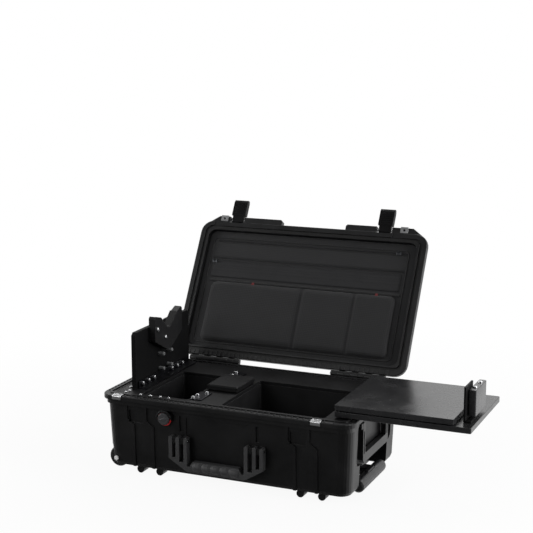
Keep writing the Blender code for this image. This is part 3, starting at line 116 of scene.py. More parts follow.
def moulded(name, body, worn, roughness, grain, depth, edge=0.0007, spread=0.10, gloss=0.5):
    """A moulded finish: the tool's grain, a cloudy sheen, and rounded, rubbed edges."""
    made, tree, where = started(name)
    fine = node(tree, "ShaderNodeTexNoise", {"Vector": where, "Scale": 1 / grain,
                                             "Detail": 3.0}).outputs["Fac"]
    cloud = node(tree, "ShaderNodeTexNoise", {"Vector": where, "Scale": 16.0, "Detail": 5.0,
                                              "Roughness": 0.65}).outputs["Fac"]
    soft, rubbed = worn_edges(tree, edge)
    patchy = node(tree, "ShaderNodeMapRange", {"Value": cloud, "From Min": 0.40,
                                               "From Max": 0.62}).outputs["Result"]
    wear = node(tree, "ShaderNodeMath", {0: rubbed, 1: patchy}, operation="MULTIPLY").outputs["Value"]
    tone = node(tree, "ShaderNodeMapRange", {"Value": cloud, "From Min": 0.3, "From Max": 0.7,
                                             "To Min": 0.0, "To Max": 0.22}).outputs["Result"]
    share = node(tree, "ShaderNodeMath", {0: tone, 1: wear}, operation="MAXIMUM").outputs["Value"]
    colour = node(tree, "ShaderNodeMix", {0: share, 6: linear(body), 7: linear(worn)},
                  data_type="RGBA").outputs[2]
    sheen = node(tree, "ShaderNodeMapRange", {"Value": cloud, "From Min": 0.3, "From Max": 0.7,
                                              "To Min": roughness - spread / 2,
                                              "To Max": roughness + spread / 2}).outputs["Result"]
    bump = node(tree, "ShaderNodeBump", {"Height": fine, "Distance": depth, "Strength": 0.5,
                                         "Normal": soft}).outputs["Normal"]
    plug(tree, tree.nodes["Principled BSDF"], {"Base Color": colour, "Roughness": sheen, "Normal": bump,
                                               "Specular IOR Level": gloss})
    return made


def finish(material, *names):
    """Give CAD nodes a material, in the slots they have."""
    for name in names:
        slots = nodes[name].material_slots
        for slot in slots:
            slot.material = material


# the grain breaks the sheen of the shell up; the bins are smoother, and shine a little more
polypropylene = moulded("grained_black_polypropylene", "#0c0c0d", "#2c2c2e", 0.44, 0.0011, 0.00012)
bin_plastic = moulded("smooth_black_polypropylene", "#121213", "#28282a", 0.46, 0.0016, 0.00005)
finish(polypropylene, "base_shell")
finish(bin_plastic, "bin_left", "bin_right")


# ------------------------------------------------------------------- rim ribs
# Low moulded ribs that stiffen the rim beside the sealing tongue, one every
# 12 mm, in the shell's own polypropylene. Each is a small block on the rim.
def interface(tree, inputs):
    """The tree's sockets: a mesh in and out, and named sizes with their defaults."""
    tree.interface.new_socket("Geometry", in_out="OUTPUT", socket_type="NodeSocketGeometry")
    tree.interface.new_socket("Geometry", in_out="INPUT", socket_type="NodeSocketGeometry")
    for name, kind, value in inputs:
        socket = tree.interface.new_socket(name, in_out="INPUT", socket_type=kind)
        if value is not None:
            socket.default_value = value
    return node(tree, "NodeGroupInput").outputs


def close(tree, geometry, material):
    """End a tree: real geometry, in its material."""
    real = node(tree, "GeometryNodeRealizeInstances", {"Geometry": geometry}).outputs["Geometry"]
    painted = node(tree, "GeometryNodeSetMaterial", {"Geometry": real, "Material": material})
    node(tree, "NodeGroupOutput", {"Geometry": painted.outputs["Geometry"]})


def row_tree():
    """Blocks or beads in a row along a path, each turned to follow it."""
    tree = bpy.data.node_groups.new("row_along_path", "GeometryNodeTree")
    given = interface(tree, (("Pitch", "NodeSocketFloat", 0.01), ("Size", "NodeSocketVector", None),
                             ("Beads", "NodeSocketBool", False), ("Sway", "NodeSocketFloat", 0.0),
                             ("Finish", "NodeSocketMaterial", None)))
    path = node(tree, "GeometryNodeMeshToCurve", {"Mesh": given["Geometry"]}).outputs["Curve"]
    spaced = node(tree, "GeometryNodeResampleCurve", {"Curve": path, "Length": given["Pitch"]},
                  mode="LENGTH").outputs["Curve"]
    along = node(tree, "GeometryNodeInputTangent").outputs["Tangent"]
    turn = node(tree, "FunctionNodeAlignRotationToVector", {"Vector": along}, axis="X").outputs["Rotation"]
    index = node(tree, "GeometryNodeInputIndex").outputs["Index"]
    odd = node(tree, "ShaderNodeMath", {0: index, 1: 2.0}, operation="MODULO").outputs["Value"]
    swing = node(tree, "ShaderNodeMath", {0: odd, 1: 0.5}, operation="SUBTRACT").outputs["Value"]
    aside = node(tree, "ShaderNodeMath", {0: swing, 1: given["Sway"]}, operation="MULTIPLY").outputs["Value"]
    offset = node(tree, "ShaderNodeCombineXYZ", {"Y": aside}).outputs["Vector"]
    block = node(tree, "GeometryNodeMeshCube", {"Size": (1.0, 1.0, 1.0)}).outputs["Mesh"]
    bead = node(tree, "GeometryNodeMeshIcoSphere", {"Radius": 0.5, "Subdivisions": 2}).outputs["Mesh"]
    shape = node(tree, "GeometryNodeSwitch", {"Switch": given["Beads"], "False": block, "True": bead},
                 input_type="GEOMETRY").outputs["Output"]
    points = node(tree, "GeometryNodeInstanceOnPoints", {"Points": spaced, "Instance": shape,
                                                         "Rotation": turn, "Scale": given["Size"]})
    moved = node(tree, "GeometryNodeSetPosition", {"Geometry": points.outputs["Instances"],
                                                   "Offset": offset}).outputs["Geometry"]
    close(tree, moved, given["Finish"])
    return tree


def applied(obj):
    """Work an object's modifiers into its mesh, and take them off."""
    graph = bpy.context.evaluated_depsgraph_get()
    made = bpy.data.meshes.new_from_object(obj.evaluated_get(graph))
    obj.modifiers.clear()
    obj.data = made
    return made


def grown(name, tree, paths, values, matrix=None, closed=False):
    """Run a tree on paths of points, and keep what it makes as one plain mesh."""
    mesh = bpy.data.meshes.new(name)
    points = [point for path in paths for point in path]
    edges = []
    start = 0
    for path in paths:
        edges += [(start + i, start + i + 1) for i in range(len(path) - 1)]
        if closed:
            edges.append((start + len(path) - 1, start))
        start += len(path)
    mesh.from_pydata(points, edges, [])
    obj = bpy.data.objects.new(name, mesh)
    bpy.context.scene.collection.objects.link(obj)
    modifier = obj.modifiers.new("grow", "NODES")
    modifier.node_group = tree
    for socket in tree.interface.items_tree:
        if socket.in_out == "INPUT" and socket.name in values:
            modifier[socket.identifier] = values[socket.name]
    obj.update_tag()
    made = applied(obj)
    bpy.data.meshes.remove(mesh)
    if matrix is not None:
        made.transform(matrix)
    return obj


def put(obj, body, slot, *stands_for):
    """Fix a finished piece to its body, in place of CAD nodes. The slot argument is not used."""
    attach(obj, body)
    if stands_for:
        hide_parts(*stands_for)
    return obj


RIM_TOP = 0.166
RIB = (0.0022, 0.0070, 0.0020)          # along the rim, across it, and high
BACK_RIB = (0.0022, 0.0038, 0.0036)
RIB_PITCH = 0.012
FRONT_RIB_Y = -0.1525
BACK_RIB_Y = 0.1418
END_RIB_X = 0.2645
END_RIB_REACH = 0.128
BACK_RIB_REACH = 0.236
along_row = row_tree()
rib_z = RIM_TOP + 0.0003
front_runs = [[(x0, FRONT_RIB_Y, rib_z), (x1, FRONT_RIB_Y, rib_z)]
              for x0, x1 in ((-0.2150, 0.1850), (0.2150, 0.2350))]      # they stop at the padlock plates
end_runs = [[(side * END_RIB_X, -END_RIB_REACH, rib_z), (side * END_RIB_X, END_RIB_REACH, rib_z)]
            for side in (-1, 1)]
back_run = [[(-BACK_RIB_REACH, BACK_RIB_Y, rib_z), (BACK_RIB_REACH, BACK_RIB_Y, rib_z)]]
rim_ribs = grown("rim_ribs", along_row, front_runs + end_runs,
                 {"Pitch": RIB_PITCH, "Size": RIB, "Finish": polypropylene})
put(rim_ribs, "case", "shell_plastic")
back_ribs = grown("rim_ribs_back", along_row, back_run,
                  {"Pitch": RIB_PITCH, "Size": BACK_RIB, "Finish": polypropylene})
put(back_ribs, "case", "shell_plastic")


# -------------------------------------------------------------- padlock plates
# Folded stainless strip over the rim's front edge and under the latch blocks,
# pressed and then brushed along its length, which draws fine bright lines.
def brushed(name, colour, roughness, along, line=0.0004, depth=0.00003, spread=0.12):
    """A brushed metal: fine lines drawn out along one axis, at the spacing of the brush."""
    made, tree, where = started(name)
    stretch = [0.04 if axis == along else 1.0 for axis in "XYZ"]
    drawn = node(tree, "ShaderNodeMapping", {"Vector": where, "Scale": stretch}).outputs["Vector"]
    lines = node(tree, "ShaderNodeTexNoise", {"Vector": drawn, "Scale": 1 / line,
                                              "Detail": 2.0}).outputs["Fac"]
    smear = node(tree, "ShaderNodeTexNoise", {"Vector": where, "Scale": 60.0,
                                              "Detail": 3.0}).outputs["Fac"]
    soft = node(tree, "ShaderNodeBevel", {"Radius": 0.0003}, samples=4).outputs["Normal"]
    darker = [c * 0.8 for c in linear(colour)[:3]] + [1.0]
    shade = node(tree, "ShaderNodeMix", {0: lines, 6: linear(colour), 7: darker},
                 data_type="RGBA").outputs[2]
    sheen = node(tree, "ShaderNodeMapRange", {"Value": smear, "From Min": 0.3, "From Max": 0.7,
                                              "To Min": roughness - spread / 2,
                                              "To Max": roughness + spread / 2}).outputs["Result"]
    bump = node(tree, "ShaderNodeBump", {"Height": lines, "Distance": depth, "Strength": 0.4,
                                         "Normal": soft}).outputs["Normal"]
    plug(tree, tree.nodes["Principled BSDF"], {"Base Color": shade, "Roughness": sheen, "Normal": bump,
                                               "Metallic": 1.0})
    return made


# the brush's lines along the strip smear what it mirrors into soft bands
stainless_strip = brushed("brushed_stainless_strip", "#e4e5e6", 0.34, "X")
finish(stainless_strip, "lid_plate_left", "lid_plate_right")


# -------------------------------------------------------------- pressure valve
# A round nylon knob on a silicone sealing ring. The knob has a knurled edge and
# a raised bar across its face to turn it by, all moulded with it.
def tidy(name, points, faces, smooth=True, angle=35.0):
    """A mesh object with merged points and outward faces, smooth but for its edges."""
    bm = bmesh.new()
    corners = [bm.verts.new(point) for point in points]
    for face in faces:
        bm.faces.new([corners[i] for i in face])
    bmesh.ops.remove_doubles(bm, verts=bm.verts, dist=1e-6)
    bmesh.ops.recalc_face_normals(bm, faces=bm.faces)
    mesh = bpy.data.meshes.new(name)
    bm.to_mesh(mesh)
    bm.free()
    if smooth:
        mesh.shade_smooth()
        mesh.set_sharp_from_angle(angle=radians(angle))
    obj = bpy.data.objects.new(name, mesh)
    bpy.context.scene.collection.objects.link(obj)
    return obj


def lofted(loops, closed=False, caps=True):
    """Points and faces through loops of equally many points."""
    count = len(loops[0])
    points = [point for loop in loops for point in loop]
    faces = []
    for step in range(len(loops) if closed else len(loops) - 1):
        low = step * count
        high = (step + 1) % len(loops) * count
        for i in range(count):
            j = (i + 1) % count
            faces.append([low + i, low + j, high + j, high + i])
    if caps and not closed:
        faces.append(list(range(count)))
        faces.append(list(range(len(points) - count, len(points))))
    return points, faces


def ringed(first, second, radius, steps):
    """Plane points of a circle."""
    return [(first + radius * cos(2 * pi * i / steps), second + radius * sin(2 * pi * i / steps))
            for i in range(steps)]


def joined(parts):
    """Several (points, faces) as one."""
    points = []
    faces = []
    for part_points, part_faces in parts:
        start = len(points)
        points += part_points
        faces += [[start + i for i in face] for face in part_faces]
    return points, faces


def dress(obj, material):
    """Give a new piece its one material."""
    obj.data.materials.clear()
    obj.data.materials.append(material)
    return obj


# the strip is folded over the rim with a round bend, so its fold catches the light
STRIP_THICK = 0.0015
FOLD_RADIUS = 0.0038
PLATE_HOLE = 0.0026             # radius of each of its two holes
HOLE_SPREAD = 0.005             # from the plate's middle to a hole
HOLE_INSET = 0.0048             # from the plate's back edge to a hole
for name in ("base_plate_left", "base_plate_right"):
    low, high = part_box(name)
    loops = []
    for x, inset in ((low[0], 0.0003), (low[0] + 0.0003, 0.0), (high[0] - 0.0003, 0.0), (high[0], 0.0003)):
        outer = [(high[1], high[2] - inset)]
        inner = [(high[1], high[2] - STRIP_THICK + inset)]
        for step in range(9):
            turn = step / 8 * pi / 2
            for side, radius in ((outer, FOLD_RADIUS - inset), (inner, FOLD_RADIUS - STRIP_THICK + inset)):
                side.append((low[1] + FOLD_RADIUS - radius * sin(turn),
                             high[2] - FOLD_RADIUS + radius * cos(turn)))
        outer.append((low[1] + inset, low[2]))
        inner.append((low[1] + STRIP_THICK - inset, low[2]))
        loops.append([(x, y, z) for y, z in outer + inner[::-1]])
    strip = dress(tidy(name + "_folded", *lofted(loops)), stainless_strip)
    for side in (-1, 1):
        bore = [[((low[0] + high[0]) / 2 + side * HOLE_SPREAD + a, high[1] - HOLE_INSET + b, z)
                 for a, b in ringed(0.0, 0.0, PLATE_HOLE, 20)] for z in (high[2] - 0.003, high[2] + 0.001)]
        cutter = tidy("plate_hole", *lofted(bore))
        hole = strip.modifiers.new("hole", "BOOLEAN")
        hole.solver = "EXACT"
        hole.object = cutter
        applied(strip)
        bpy.data.objects.remove(cutter, do_unlink=True)
    put(strip, "case", "stainless", name)

VALVE_LOW, VALVE_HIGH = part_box("valve_body")
VALVE_X = (VALVE_LOW[0] + VALVE_HIGH[0]) / 2
VALVE_Z = (VALVE_LOW[2] + VALVE_HIGH[2]) / 2
VALVE_FACE = VALVE_LOW[1]                       # the front of the knob
# a paler nylon than the shell, and the one strong colour on the case
knob_nylon = moulded("satin_grey_nylon", "#3a3a3c", "#626264", 0.38, 0.0012, 0.00006)
red_silicone = moulded("red_silicone", "#c81c20", "#d84038", 0.42, 0.0015, 0.00003)
finish(knob_nylon, "valve_body")
finish(red_silicone, "valve_ring")
KNURL_RADIUS = 0.01215
KNURLS = 36
knurl_path = [(VALVE_X + a, VALVE_FACE + 0.0023, VALVE_Z + b)
              for a, b in ringed(0.0, 0.0, KNURL_RADIUS, 96)]
knurl = grown("valve_knurl", along_row, [knurl_path],
              {"Pitch": 2 * pi * KNURL_RADIUS / KNURLS, "Size": (0.0011, 0.0030, 0.0011),
               "Finish": knob_nylon}, closed=True)
put(knurl, "valve", "nylon")
# the bar lies a little turned, as it was left: these are the cosine and sine of 20 degrees
BAR_COS, BAR_SIN = 0.94, 0.34
bar_loops = []
for out, half_x, half_z in ((0.0004, 0.0088, 0.0024), (-0.0006, 0.0086, 0.0022), (-0.0012, 0.0079, 0.0015)):
    loop = []
    for a, b in ringed(0.0, 0.0, 1.0, 24):
        stretch = 1 / max(abs(a), abs(b)) ** 0.6
        along, across = a * half_x * min(stretch, 1.12), b * half_z * min(stretch, 1.12)
        loop.append((VALVE_X + BAR_COS * along - BAR_SIN * across, VALVE_FACE + out,
                     VALVE_Z + BAR_SIN * along + BAR_COS * across))
    bar_loops.append(loop)
thumb_bar = dress(tidy("valve_thumb_bar", *lofted(bar_loops)), knob_nylon)
put(thumb_bar, "valve", "nylon")
# painted shade: a black hood in the shell's plastic covers the ring's upper part, where the knob's shadow
# falls, and leaves the ring in sight below
RING_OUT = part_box("valve_ring")[1][2] - VALVE_Z
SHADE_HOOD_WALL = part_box("valve_ring")[1][1] + 0.0020
SHADE_HOOD_FROM, SHADE_HOOD_SWEEP = -8, 206         # degrees round the ring
SHADE_HOOD_STEPS = 32
painted_shade_hood_loops = []
for step in range(SHADE_HOOD_STEPS + 1):
    turn = radians(SHADE_HOOD_FROM + step / SHADE_HOOD_STEPS * SHADE_HOOD_SWEEP)
    fade = min(step, SHADE_HOOD_STEPS - step, 4) / 4
    inner = RING_OUT + 0.0003
    outer = inner + 0.0006 + 0.0016 * fade
    front = VALVE_FACE + 0.0042 - 0.0034 * fade
    loop = []
    for radius, y in ((inner, SHADE_HOOD_WALL), (inner - 0.0018 * fade, front + 0.0012),
                      (inner - 0.0016 * fade, front), (outer - 0.0008, front),
                      (outer, front + 0.0009), (outer + 0.0006, SHADE_HOOD_WALL)):
        loop.append((VALVE_X + radius * cos(turn), y, VALVE_Z + radius * sin(turn)))
    painted_shade_hood_loops.append(loop)
painted_shade_hood = dress(tidy("valve_painted_shade_hood", *lofted(painted_shade_hood_loops)), polypropylene)
put(painted_shade_hood, "case", "shell_plastic")


# --------------------------------------------------------- front and side handles
# Fold-down handles with a soft thermoplastic-rubber overmould, a little greyer
# and duller than the shell, on stainless pins that run through the prongs.
overmould = moulded("grained_thermoplastic_rubber", "#363637", "#525254", 0.56, 0.0014, 0.00016,
                    edge=0.0016)
side_rubber = moulded("satin_thermoplastic_rubber", "#151516", "#323234", 0.42, 0.0014, 0.00008,
                      edge=0.0014)
# drawn wire, bright and almost smooth, with fine lines along it
finish(overmould, "front_handle")
finish(side_rubber, "side_handle")
drawn_steel = brushed("drawn_stainless_wire", "#c9cacb", 0.26, "X")
finish(drawn_steel, "front_handle_pin_left", "front_handle_pin_right", "side_handle_pin_front",
       "side_handle_pin_back", "hinge_pin_left", "hinge_pin_right", "latch_pin_left", "latch_pin_right")
GRIP = (-0.1580, 0.0395)                # the grip's axis: y and z
GRIP_ENDS = (-0.0550, 0.0350)
GRIP_RADIUS = 0.0094
grip_lines = []
for a, b in ringed(*GRIP, GRIP_RADIUS, 20)[10:20]:       # the lower half of the round
    grip_lines.append([(x, a, b) for x in GRIP_ENDS])
grip_ribs = grown("front_handle_grip_ribs", along_row, grip_lines,
                  {"Pitch": 0.0090, "Size": (0.0042, 0.0016, 0.0016), "Beads": True, "Finish": overmould})
put(grip_ribs, "front_handle", "moulded_rubber")


# -------------------------------------------------------------- trolley handle
# A pull-out handle: a moulded nylon cross bar with fine lengthwise flutes and a
# release button, on two flat tubes of black anodised aluminium.
# satin nylon with a broad highlight, and a dark metal with lines along the tubes
trolley_nylon = moulded("satin_black_nylon", "#2b2b2d", "#454547", 0.34, 0.0012, 0.00004, edge=0.0012)
anodised = brushed("black_anodised_aluminium", "#3c3c40", 0.36, "X")
finish(trolley_nylon, "trolley_grip", "trolley_button")
finish(anodised, "trolley_tube_front", "trolley_tube_back")
BAR_RADIUS = 0.0128
BAR_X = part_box("trolley_grip")[1][0] - BAR_RADIUS
BAR_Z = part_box("trolley_grip")[1][2] - BAR_RADIUS
FLUTE_LENGTH = 0.0290
FLUTE_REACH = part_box("trolley_grip")[1][1] - FLUTE_LENGTH / 2 - 0.0025   # to the last flute's middle
flutes = []
for turn in range(-50, 231, 20):
    a = BAR_X + BAR_RADIUS * cos(radians(turn))
    b = BAR_Z + BAR_RADIUS * sin(radians(turn))
    if abs(turn - 90) > 25 and b > 0.001:
        flutes.append([(a, -FLUTE_REACH, b), (a, FLUTE_REACH, b)])
bar_flutes = grown("trolley_grip_flutes", along_row, flutes,
                   {"Pitch": FLUTE_REACH / 2, "Size": (FLUTE_LENGTH, 0.0011, 0.0009), "Beads": True,
                    "Finish": trolley_nylon})
put(bar_flutes, "trolley", "nylon")


# ---------------------------------------------------------------------- wheels
# Two small luggage wheels: a polyurethane tyre with shallow cross grooves on a
# nylon hub, on a zinc-plated axle whose pale head shows at the case's corner.
# The tyre is dull, the hub has a low sheen, and the plating is cloudy.
polyurethane = moulded("black_polyurethane_tyre", "#141414", "#3a3a38", 0.58, 0.0010, 0.00012)
hub_nylon = moulded("black_nylon_hub", "#171718", "#343436", 0.44, 0.0012, 0.00005)
turned_steel = moulded("zinc_plated_axle", "#e8e8e8", "#f4f4f4", 0.40, 0.0016, 0.00003)
finish(polyurethane, "wheel_tyre_front", "wheel_tyre_back")
finish(hub_nylon, "wheel_hub_front", "wheel_hub_back")
finish(turned_steel, "wheel_axle_front", "wheel_axle_back")
TREAD_RADIUS = 0.02095
TREADS = 30
WHEEL_Y = 0.126
HUB_FACE = 0.0113               # from the wheel's middle to the face of its hub
for name, side in (("front", -1), ("back", 1)):
    low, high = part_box("wheel_tyre_" + name)
    wheel_x = (low[0] + high[0]) / 2
    wheel_z = (low[2] + high[2]) / 2
    tread_path = [(wheel_x + a, side * WHEEL_Y, wheel_z + b)
                  for a, b in ringed(0.0, 0.0, TREAD_RADIUS, 72)]
    tread = grown("wheel_tread_" + name, along_row, [tread_path],
                  {"Pitch": 2 * pi * TREAD_RADIUS / TREADS, "Size": (0.0026, 0.0150, 0.0007),
                   "Finish": polyurethane}, closed=True)
    put(tread, "wheel_" + name, "tyre")
    spokes = []
    for step in range(6):
        turn = step * pi / 3
        spokes.append([(wheel_x + r * cos(turn), side * (WHEEL_Y + HUB_FACE), wheel_z + r * sin(turn))
                       for r in (0.0055, 0.0125)])
    hub = grown("wheel_hub_ribs_" + name, along_row, spokes,
                {"Pitch": 0.0034, "Size": (0.0040, 0.0010, 0.0016), "Finish": hub_nylon})
    put(hub, "wheel_" + name, "nylon")


# ----------------------------------------------------------- deck and brackets
# The deck is a routed sheet of black powder-coated aluminium that drops in on
# the shell's ledge; its coat has a fine orange peel. The divider block, the
# tower and the end stop's plate are coated too; the two screwed brackets, the
# angle and the support's rails are black anodised aluminium.
def coated(name, body, lift, roughness, peel, depth, gloss=0.5):
    """A sprayed coat: soft pebbles of orange peel and a few dry, paler specks."""
    made, tree, where = started(name)
    pebble = node(tree, "ShaderNodeTexVoronoi", {"Vector": where, "Scale": 1 / peel},
                  feature="SMOOTH_F1").outputs["Distance"]
    cloud = node(tree, "ShaderNodeTexNoise", {"Vector": where, "Scale": 22.0,
                                              "Detail": 4.0}).outputs["Fac"]
    soft, rubbed = worn_edges(tree, 0.0006)
    tone = node(tree, "ShaderNodeMapRange", {"Value": cloud, "From Min": 0.3, "From Max": 0.7,
                                             "To Min": 0.0, "To Max": 0.25}).outputs["Result"]
    share = node(tree, "ShaderNodeMath", {0: tone, 1: rubbed}, operation="MAXIMUM").outputs["Value"]
    colour = node(tree, "ShaderNodeMix", {0: share, 6: linear(body), 7: linear(lift)},
                  data_type="RGBA").outputs[2]
    sheen = node(tree, "ShaderNodeMapRange", {"Value": cloud, "From Min": 0.3, "From Max": 0.7,
                                              "To Min": roughness - 0.05,
                                              "To Max": roughness + 0.07}).outputs["Result"]
    bump = node(tree, "ShaderNodeBump", {"Height": pebble, "Distance": depth, "Strength": 0.35,
                                         "Normal": soft}).outputs["Normal"]
    plug(tree, tree.nodes["Principled BSDF"], {"Base Color": colour, "Roughness": sheen, "Normal": bump,
                                               "Specular IOR Level": gloss})
    return made


deck_coat = coated("black_powder_coat", "#0b0b0c", "#1e1e20", 0.50, 0.0016, 0.00010, gloss=0.28)
tower_coat = coated("flat_black_powder_coat", "#060607", "#111112", 0.62, 0.0016, 0.00010, gloss=0.16)
finish(deck_coat, "deck_frame")
finish(tower_coat, "tower_plate", "stop_plate")
finish(deck_coat, "divider_block")
finish(anodised, "bracket_front", "bracket_back", "tower_angle", "guide_front", "guide_back")


# ----------------------------------------------------------------- screw heads
# Button-head socket screws in bright stainless: the row along the deck's front
# edge, those of the two brackets, the six studs of the angle, and the four long
# screws of the cradle and of the stop. Each head is turned, with a hex socket,
# and its polish gives a hard, small highlight.
def screw_tree():
    """A domed head with a hexagon socket at every point, turned to one direction."""
    tree = bpy.data.node_groups.new("socket_screw_heads", "GeometryNodeTree")
    given = interface(tree, (("Radius", "NodeSocketFloat", 0.003), ("Height", "NodeSocketFloat", 0.0015),
                             ("Turn", "NodeSocketRotation", None),
                             ("Finish", "NodeSocketMaterial", None)))
    half = node(tree, "ShaderNodeMath", {0: given["Height"], 1: 0.5}, operation="MULTIPLY").outputs["Value"]
    upper = node(tree, "ShaderNodeMath", {0: given["Radius"], 1: 0.72}, operation="MULTIPLY").outputs["Value"]
    skirt = node(tree, "GeometryNodeMeshCylinder", {"Vertices": 20, "Radius": given["Radius"],
                                                    "Depth": given["Height"]}).outputs["Mesh"]
    dome = node(tree, "GeometryNodeMeshCone", {"Vertices": 20, "Radius Top": upper, "Depth": half,
                                               "Radius Bottom": given["Radius"]}).outputs["Mesh"]
    raised = node(tree, "ShaderNodeCombineXYZ", {"Z": half}).outputs["Vector"]
    lifted = node(tree, "GeometryNodeTransform", {"Geometry": dome,
                                                  "Translation": raised}).outputs["Geometry"]
    hexagon = node(tree, "ShaderNodeMath", {0: given["Radius"], 1: 0.44},
                   operation="MULTIPLY").outputs["Value"]
    socket = node(tree, "GeometryNodeMeshCylinder", {"Vertices": 6, "Radius": hexagon,
                                                     "Depth": given["Height"]}).outputs["Mesh"]
    high = node(tree, "ShaderNodeCombineXYZ", {"Z": given["Height"]}).outputs["Vector"]
    tool = node(tree, "GeometryNodeTransform", {"Geometry": socket,
                                                "Translation": high}).outputs["Geometry"]
    body = node(tree, "GeometryNodeMeshBoolean", {"Mesh 2": skirt}, operation="UNION", solver="EXACT")
    tree.links.new(lifted, body.inputs["Mesh 2"])
    cut = node(tree, "GeometryNodeMeshBoolean", {"Mesh 1": body.outputs["Mesh"], "Mesh 2": tool},
               operation="DIFFERENCE", solver="EXACT").outputs["Mesh"]
    heads = node(tree, "GeometryNodeInstanceOnPoints", {"Points": given["Geometry"], "Instance": cut,
                                                        "Rotation": given["Turn"]}).outputs["Instances"]
    close(tree, heads, given["Finish"])
    return tree


screw_heads = screw_tree()
bright_steel = brushed("polished_stainless_screws", "#e2e3e4", 0.22, "Z", line=0.0006)
DECK_TOP = 0.1658
UPRIGHT = (0.0, 0.0, 0.0)
FACING_RIGHT = (0.0, pi / 2, 0.0)
deck_screws = [(-0.228, -0.128), (-0.226, -0.116), (-0.237, -0.092), (-0.192, -0.1325),
               (-0.169, -0.1325), (-0.147, -0.1325), (-0.128, -0.1325)]
bracket_screws = [(-0.0805, -0.118), (-0.0800, -0.099), (-0.0690, -0.078), (-0.0785, 0.064),
                  (-0.0790, 0.086), (-0.0640, 0.051)]
for name, places, radius, height, lift in (("deck_screw_heads", deck_screws, 0.00345, 0.0012, 0.0007),
                                           ("bracket_screw_heads", bracket_screws, 0.00425, 0.0024, 0.0037)):
    heads = grown(name, screw_heads, [[(x, y, DECK_TOP + lift)] for x, y in places],
                  {"Radius": radius, "Height": height, "Turn": UPRIGHT, "Finish": bright_steel})
    put(heads, "case", "stainless")
STUD_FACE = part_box("tower_angle")[0][0] + 0.003
STUD_YS = (-0.084, -0.058, -0.034, 0.046, 0.072, 0.096)
studs = grown("tower_studs", screw_heads, [[(STUD_FACE + 0.0016, y, DECK_TOP + 0.0083)] for y in STUD_YS],
              {"Radius": 0.00445, "Height": 0.0031, "Turn": FACING_RIGHT, "Finish": bright_steel})
put(studs, "case", "stainless")


def long_screw(name, centre, axis, head, shank):
    """A screw's shank under its head, drawn from the CAD screw's own box."""
    low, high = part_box(name)
    index = "XYZ".index(axis)
    profile = ((low[index], 0.0), (low[index], shank * 0.7), (low[index] + 0.001, shank),
               (high[index] - 0.0029, shank), (high[index] - 0.0029, head), (high[index] - 0.0016, head),
               (high[index] - 0.0006, head * 0.86), (high[index], head * 0.62), (high[index], head * 0.42),
               (high[index] - 0.0018, head * 0.42), (high[index] - 0.0021, 0.0))
    loops = []
    for along, radius in profile:
        loop = []
        for a, b in ringed(0.0, 0.0, max(radius, 0.00002), 24):
            loop.append((along, centre[0] + a, centre[1] + b) if axis == "X"
                        else (centre[0] + a, centre[1] + b, along))
        loops.append(loop)
    return dress(tidy(name + "_turned", *lofted(loops)), bright_steel)


HEAD_RADIUS = 0.0045
SHANK_RADIUS = 0.0019
for name, axis, body in (("cradle_screw_upper", "X", "case"), ("cradle_screw_lower", "X", "case"),
                         ("stop_screw_front", "Z", "support"), ("stop_screw_back", "Z", "support")):
    low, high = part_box(name)
    first = 1 if axis == "X" else 0
    middle = [(low[i] + high[i]) / 2 for i in (first, first + 1)]
    put(long_screw(name, middle, axis, HEAD_RADIUS, SHANK_RADIUS), body, "stainless", name)


# ------------------------------------------------------------ pegs and cradle
# Four turned pegs of pale grey acetal, which shine softly, to hang tools on, and
# the cradle at the top of the tower: a machined block of black nylon, a little
# duller, that is lined with a pad of matt rubber.
peg_metal = moulded("satin_grey_acetal", "#707172", "#8e8f90", 0.42, 0.0016, 0.00004)
cradle_nylon = moulded("machined_black_polymer", "#111112", "#28282a", 0.44, 0.0020, 0.00006)
pad_rubber = moulded("soft_black_rubber", "#131313", "#262626", 0.62, 0.0014, 0.00014)
finish(peg_metal, "peg_low_front", "peg_low_back", "peg_high_front", "peg_high_back")
finish(cradle_nylon, "neck_cradle")
finish(pad_rubber, "cradle_pad", "lid_gasket")


# --------------------------------------------------------------- sliding support
# Two routed boards of satin black polymer on hidden rails, and the stop that is
# screwed up at their end: a folded plate and a thick block with a bare face.
# The satin is smooth enough to mirror the white backdrop where it is seen flat.
board_satin = coated("satin_black_board", "#242425", "#363638", 0.24, 0.0024, 0.00004)
block_satin = coated("satin_black_block", "#2a2a2b", "#444446", 0.26, 0.0022, 0.00004)
finish(board_satin, "platform_lower", "platform_upper")
finish(block_satin, "stop_block")


# --------------------------------------------------------------------- lid shell
# The lid, in the same grained polypropylene as the base, with its latch blocks.
# Everything on it is drawn flat in the closed place and turned up about the
# hinge by LID, so a place reads as x, the way up the lid, and the depth in it.
HINGE = (0.0, 0.168, 0.168)
LID_ANGLE = 119.6
LID = (Matrix.Translation(HINGE) @ Matrix.Rotation(-radians(LID_ANGLE), 4, "X")
       @ Matrix.Scale(-1, 4, (0, 1, 0)))
finish(polypropylene, "lid_shell")
# upright ribs along the flange beside the hinge, moulded with the lid
FLANGE_RUN = [(-0.234, 0.0135, -0.0019), (0.234, 0.0135, -0.0019)]
flange_ribs = grown("lid_flange_ribs", along_row, [FLANGE_RUN],
                    {"Pitch": 0.0108, "Size": (0.0030, 0.0095, 0.0016), "Finish": polypropylene}, matrix=LID)
flange_ribs.data.flip_normals()
put(flange_ribs, "lid", "shell_plastic")


